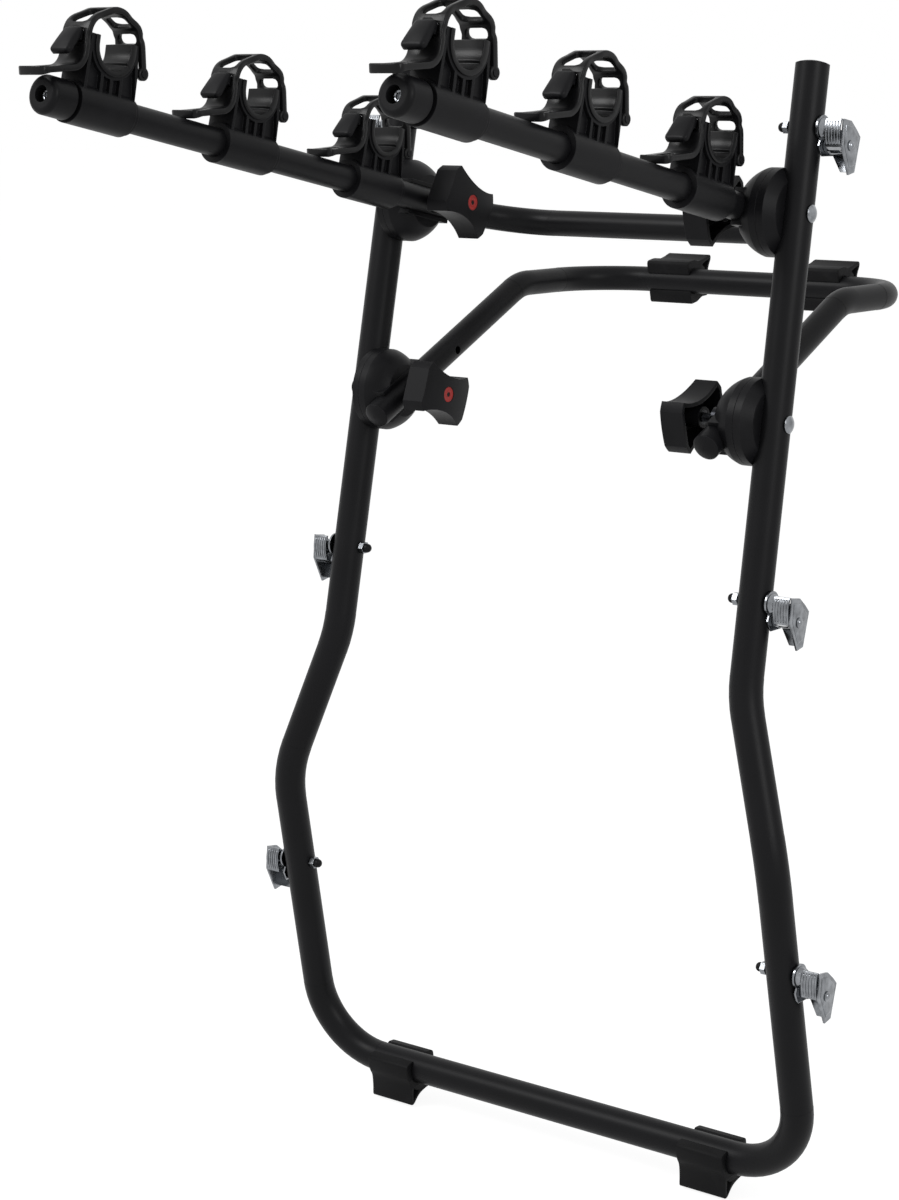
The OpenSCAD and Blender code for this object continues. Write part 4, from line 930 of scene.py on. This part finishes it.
# Plain red ring in the recess of each knob's face: radius, and depth behind the face
fillShape = [(2.2, 0.45), (3.2, 0.35), (4.0, 0.5), (5.2, 0.5), (6.4, 0.3), (7.1, 0.35), (7.35, 0.65),
             (7.35, 0.75), (2.2, 0.75)]
hingeHeights = {"upper": (armSizes["hingeY"], armSizes["hingeZ"]), "lower": (3.0342, 715.6691)}
backs = []
for level, (hingeY, hingeZ) in hingeHeights.items():
    for side, word in sides:
        knob = "knob_%s_%s" % (level, word)
        lowest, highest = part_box(knob)
        face, back = (lowest[0], highest[0]) if side > 0 else (highest[0], lowest[0])
        backs.append((back / mm, hingeY, hingeZ))
        profile = [(radius, face / mm + side * deep) for radius, deep in fillShape]
        verts, faces = turned([], [], profile, (hingeY, hingeZ), 40, True)
        fill = newObject("redFill_" + knob, meshFrom("redFill", verts, faces))
        fill.data.materials.append(enamel)
        wear(fill, knob, "black_plastic")
# the thread is drawn in the near-black metal, as painted shade between the knob and the hub
threads = setFasteners("boltThreads", makeThread(), backs, (1, 0, 0), shadedMetal)
wear(threads, "frame", "bright_hardware")
print("knob fills and bolt threads set")

# Floor, soft lights and a white surround
studio = {"floorAt": -5.0, "floorSize": 60.0, "floorTone": "#f4f4f4", "floorRough": 0.9, "floorGlow": 0.8,
          "floorLight": 1.13, "worldPower": 0.55, "target": (0, 0, 0.6)}
lamps = {"keyLamp": {"place": (-1.6, -2.4, 3.2), "size": 1.6, "power": 90.0},
         "fillLamp": {"place": (3.0, -1.0, 2.0), "size": 1.4, "power": 40.0}}


# One for a ray that shows the surround, straight, reflected or through glass; nought for one that lights
def showingRays(tree):
    rays = addNode(tree, "ShaderNodeLightPath").outputs
    seen = addNode(tree, "ShaderNodeMath", {"operation": "MAXIMUM"},
                   {0: rays["Is Camera Ray"], 1: rays["Is Glossy Ray"]})
    every = addNode(tree, "ShaderNodeMath", {"operation": "MAXIMUM"},
                    {0: seen.outputs["Value"], 1: rays["Is Transmission Ray"]})
    return every.outputs["Value"]


floorMat, floorTree, floorShader = startMaterial("paleFloor")
floorShader.inputs["Base Color"].default_value = toLinear(studio["floorTone"])
floorShader.inputs["Roughness"].default_value = studio["floorRough"]
floorShader.inputs["Specular IOR Level"].default_value = 0.0
glow = addNode(floorTree, "ShaderNodeEmission", {"Color": (1, 1, 1, 1), "Strength": studio["floorLight"]})
share = addNode(floorTree, "ShaderNodeMath", {"operation": "MULTIPLY", 1: studio["floorGlow"]},
                {0: showingRays(floorTree)})
mixed = addNode(floorTree, "ShaderNodeMixShader", {},
                {0: share.outputs["Value"], 1: floorShader.outputs["BSDF"], 2: glow.outputs["Emission"]})
floorTree.links.new(mixed.outputs["Shader"], floorTree.nodes["Material Output"].inputs["Surface"])
floorMesh = bpy.data.meshes.new("floor")
half = studio["floorSize"] / 2
floorCorners = [(x * half, y * half, studio["floorAt"] * mm) for x, y in ((-1, -1), (1, -1), (1, 1), (-1, 1))]
floorMesh.from_pydata(floorCorners, [], [(0, 1, 2, 3)])
floorMesh.materials.append(floorMat)
floor = newObject("floor", floorMesh)

world = bpy.data.worlds.new("studioWorld")
scene.world = world
world.use_nodes = True
sky = world.node_tree
power = addNode(sky, "ShaderNodeMapRange", {"To Min": studio["worldPower"], "To Max": 1.0},
                {"Value": showingRays(sky)})
sky.nodes["Background"].inputs["Color"].default_value = (1, 1, 1, 1)
sky.links.new(power.outputs["Result"], sky.nodes["Background"].inputs["Strength"])

for name, z in lamps.items():
    data = bpy.data.lights.new(name, "AREA")
    data.size = z["size"]
    data.energy = z["power"]
    lamp = newObject(name, data)
    lamp.location = z["place"]
    lamp.rotation_mode = "QUATERNION"
    lamp.rotation_quaternion = (Vector(studio["target"]) - Vector(z["place"])).to_track_quat("-Z", "Y")
scene.view_settings.view_transform = "Standard"
print("studio set")
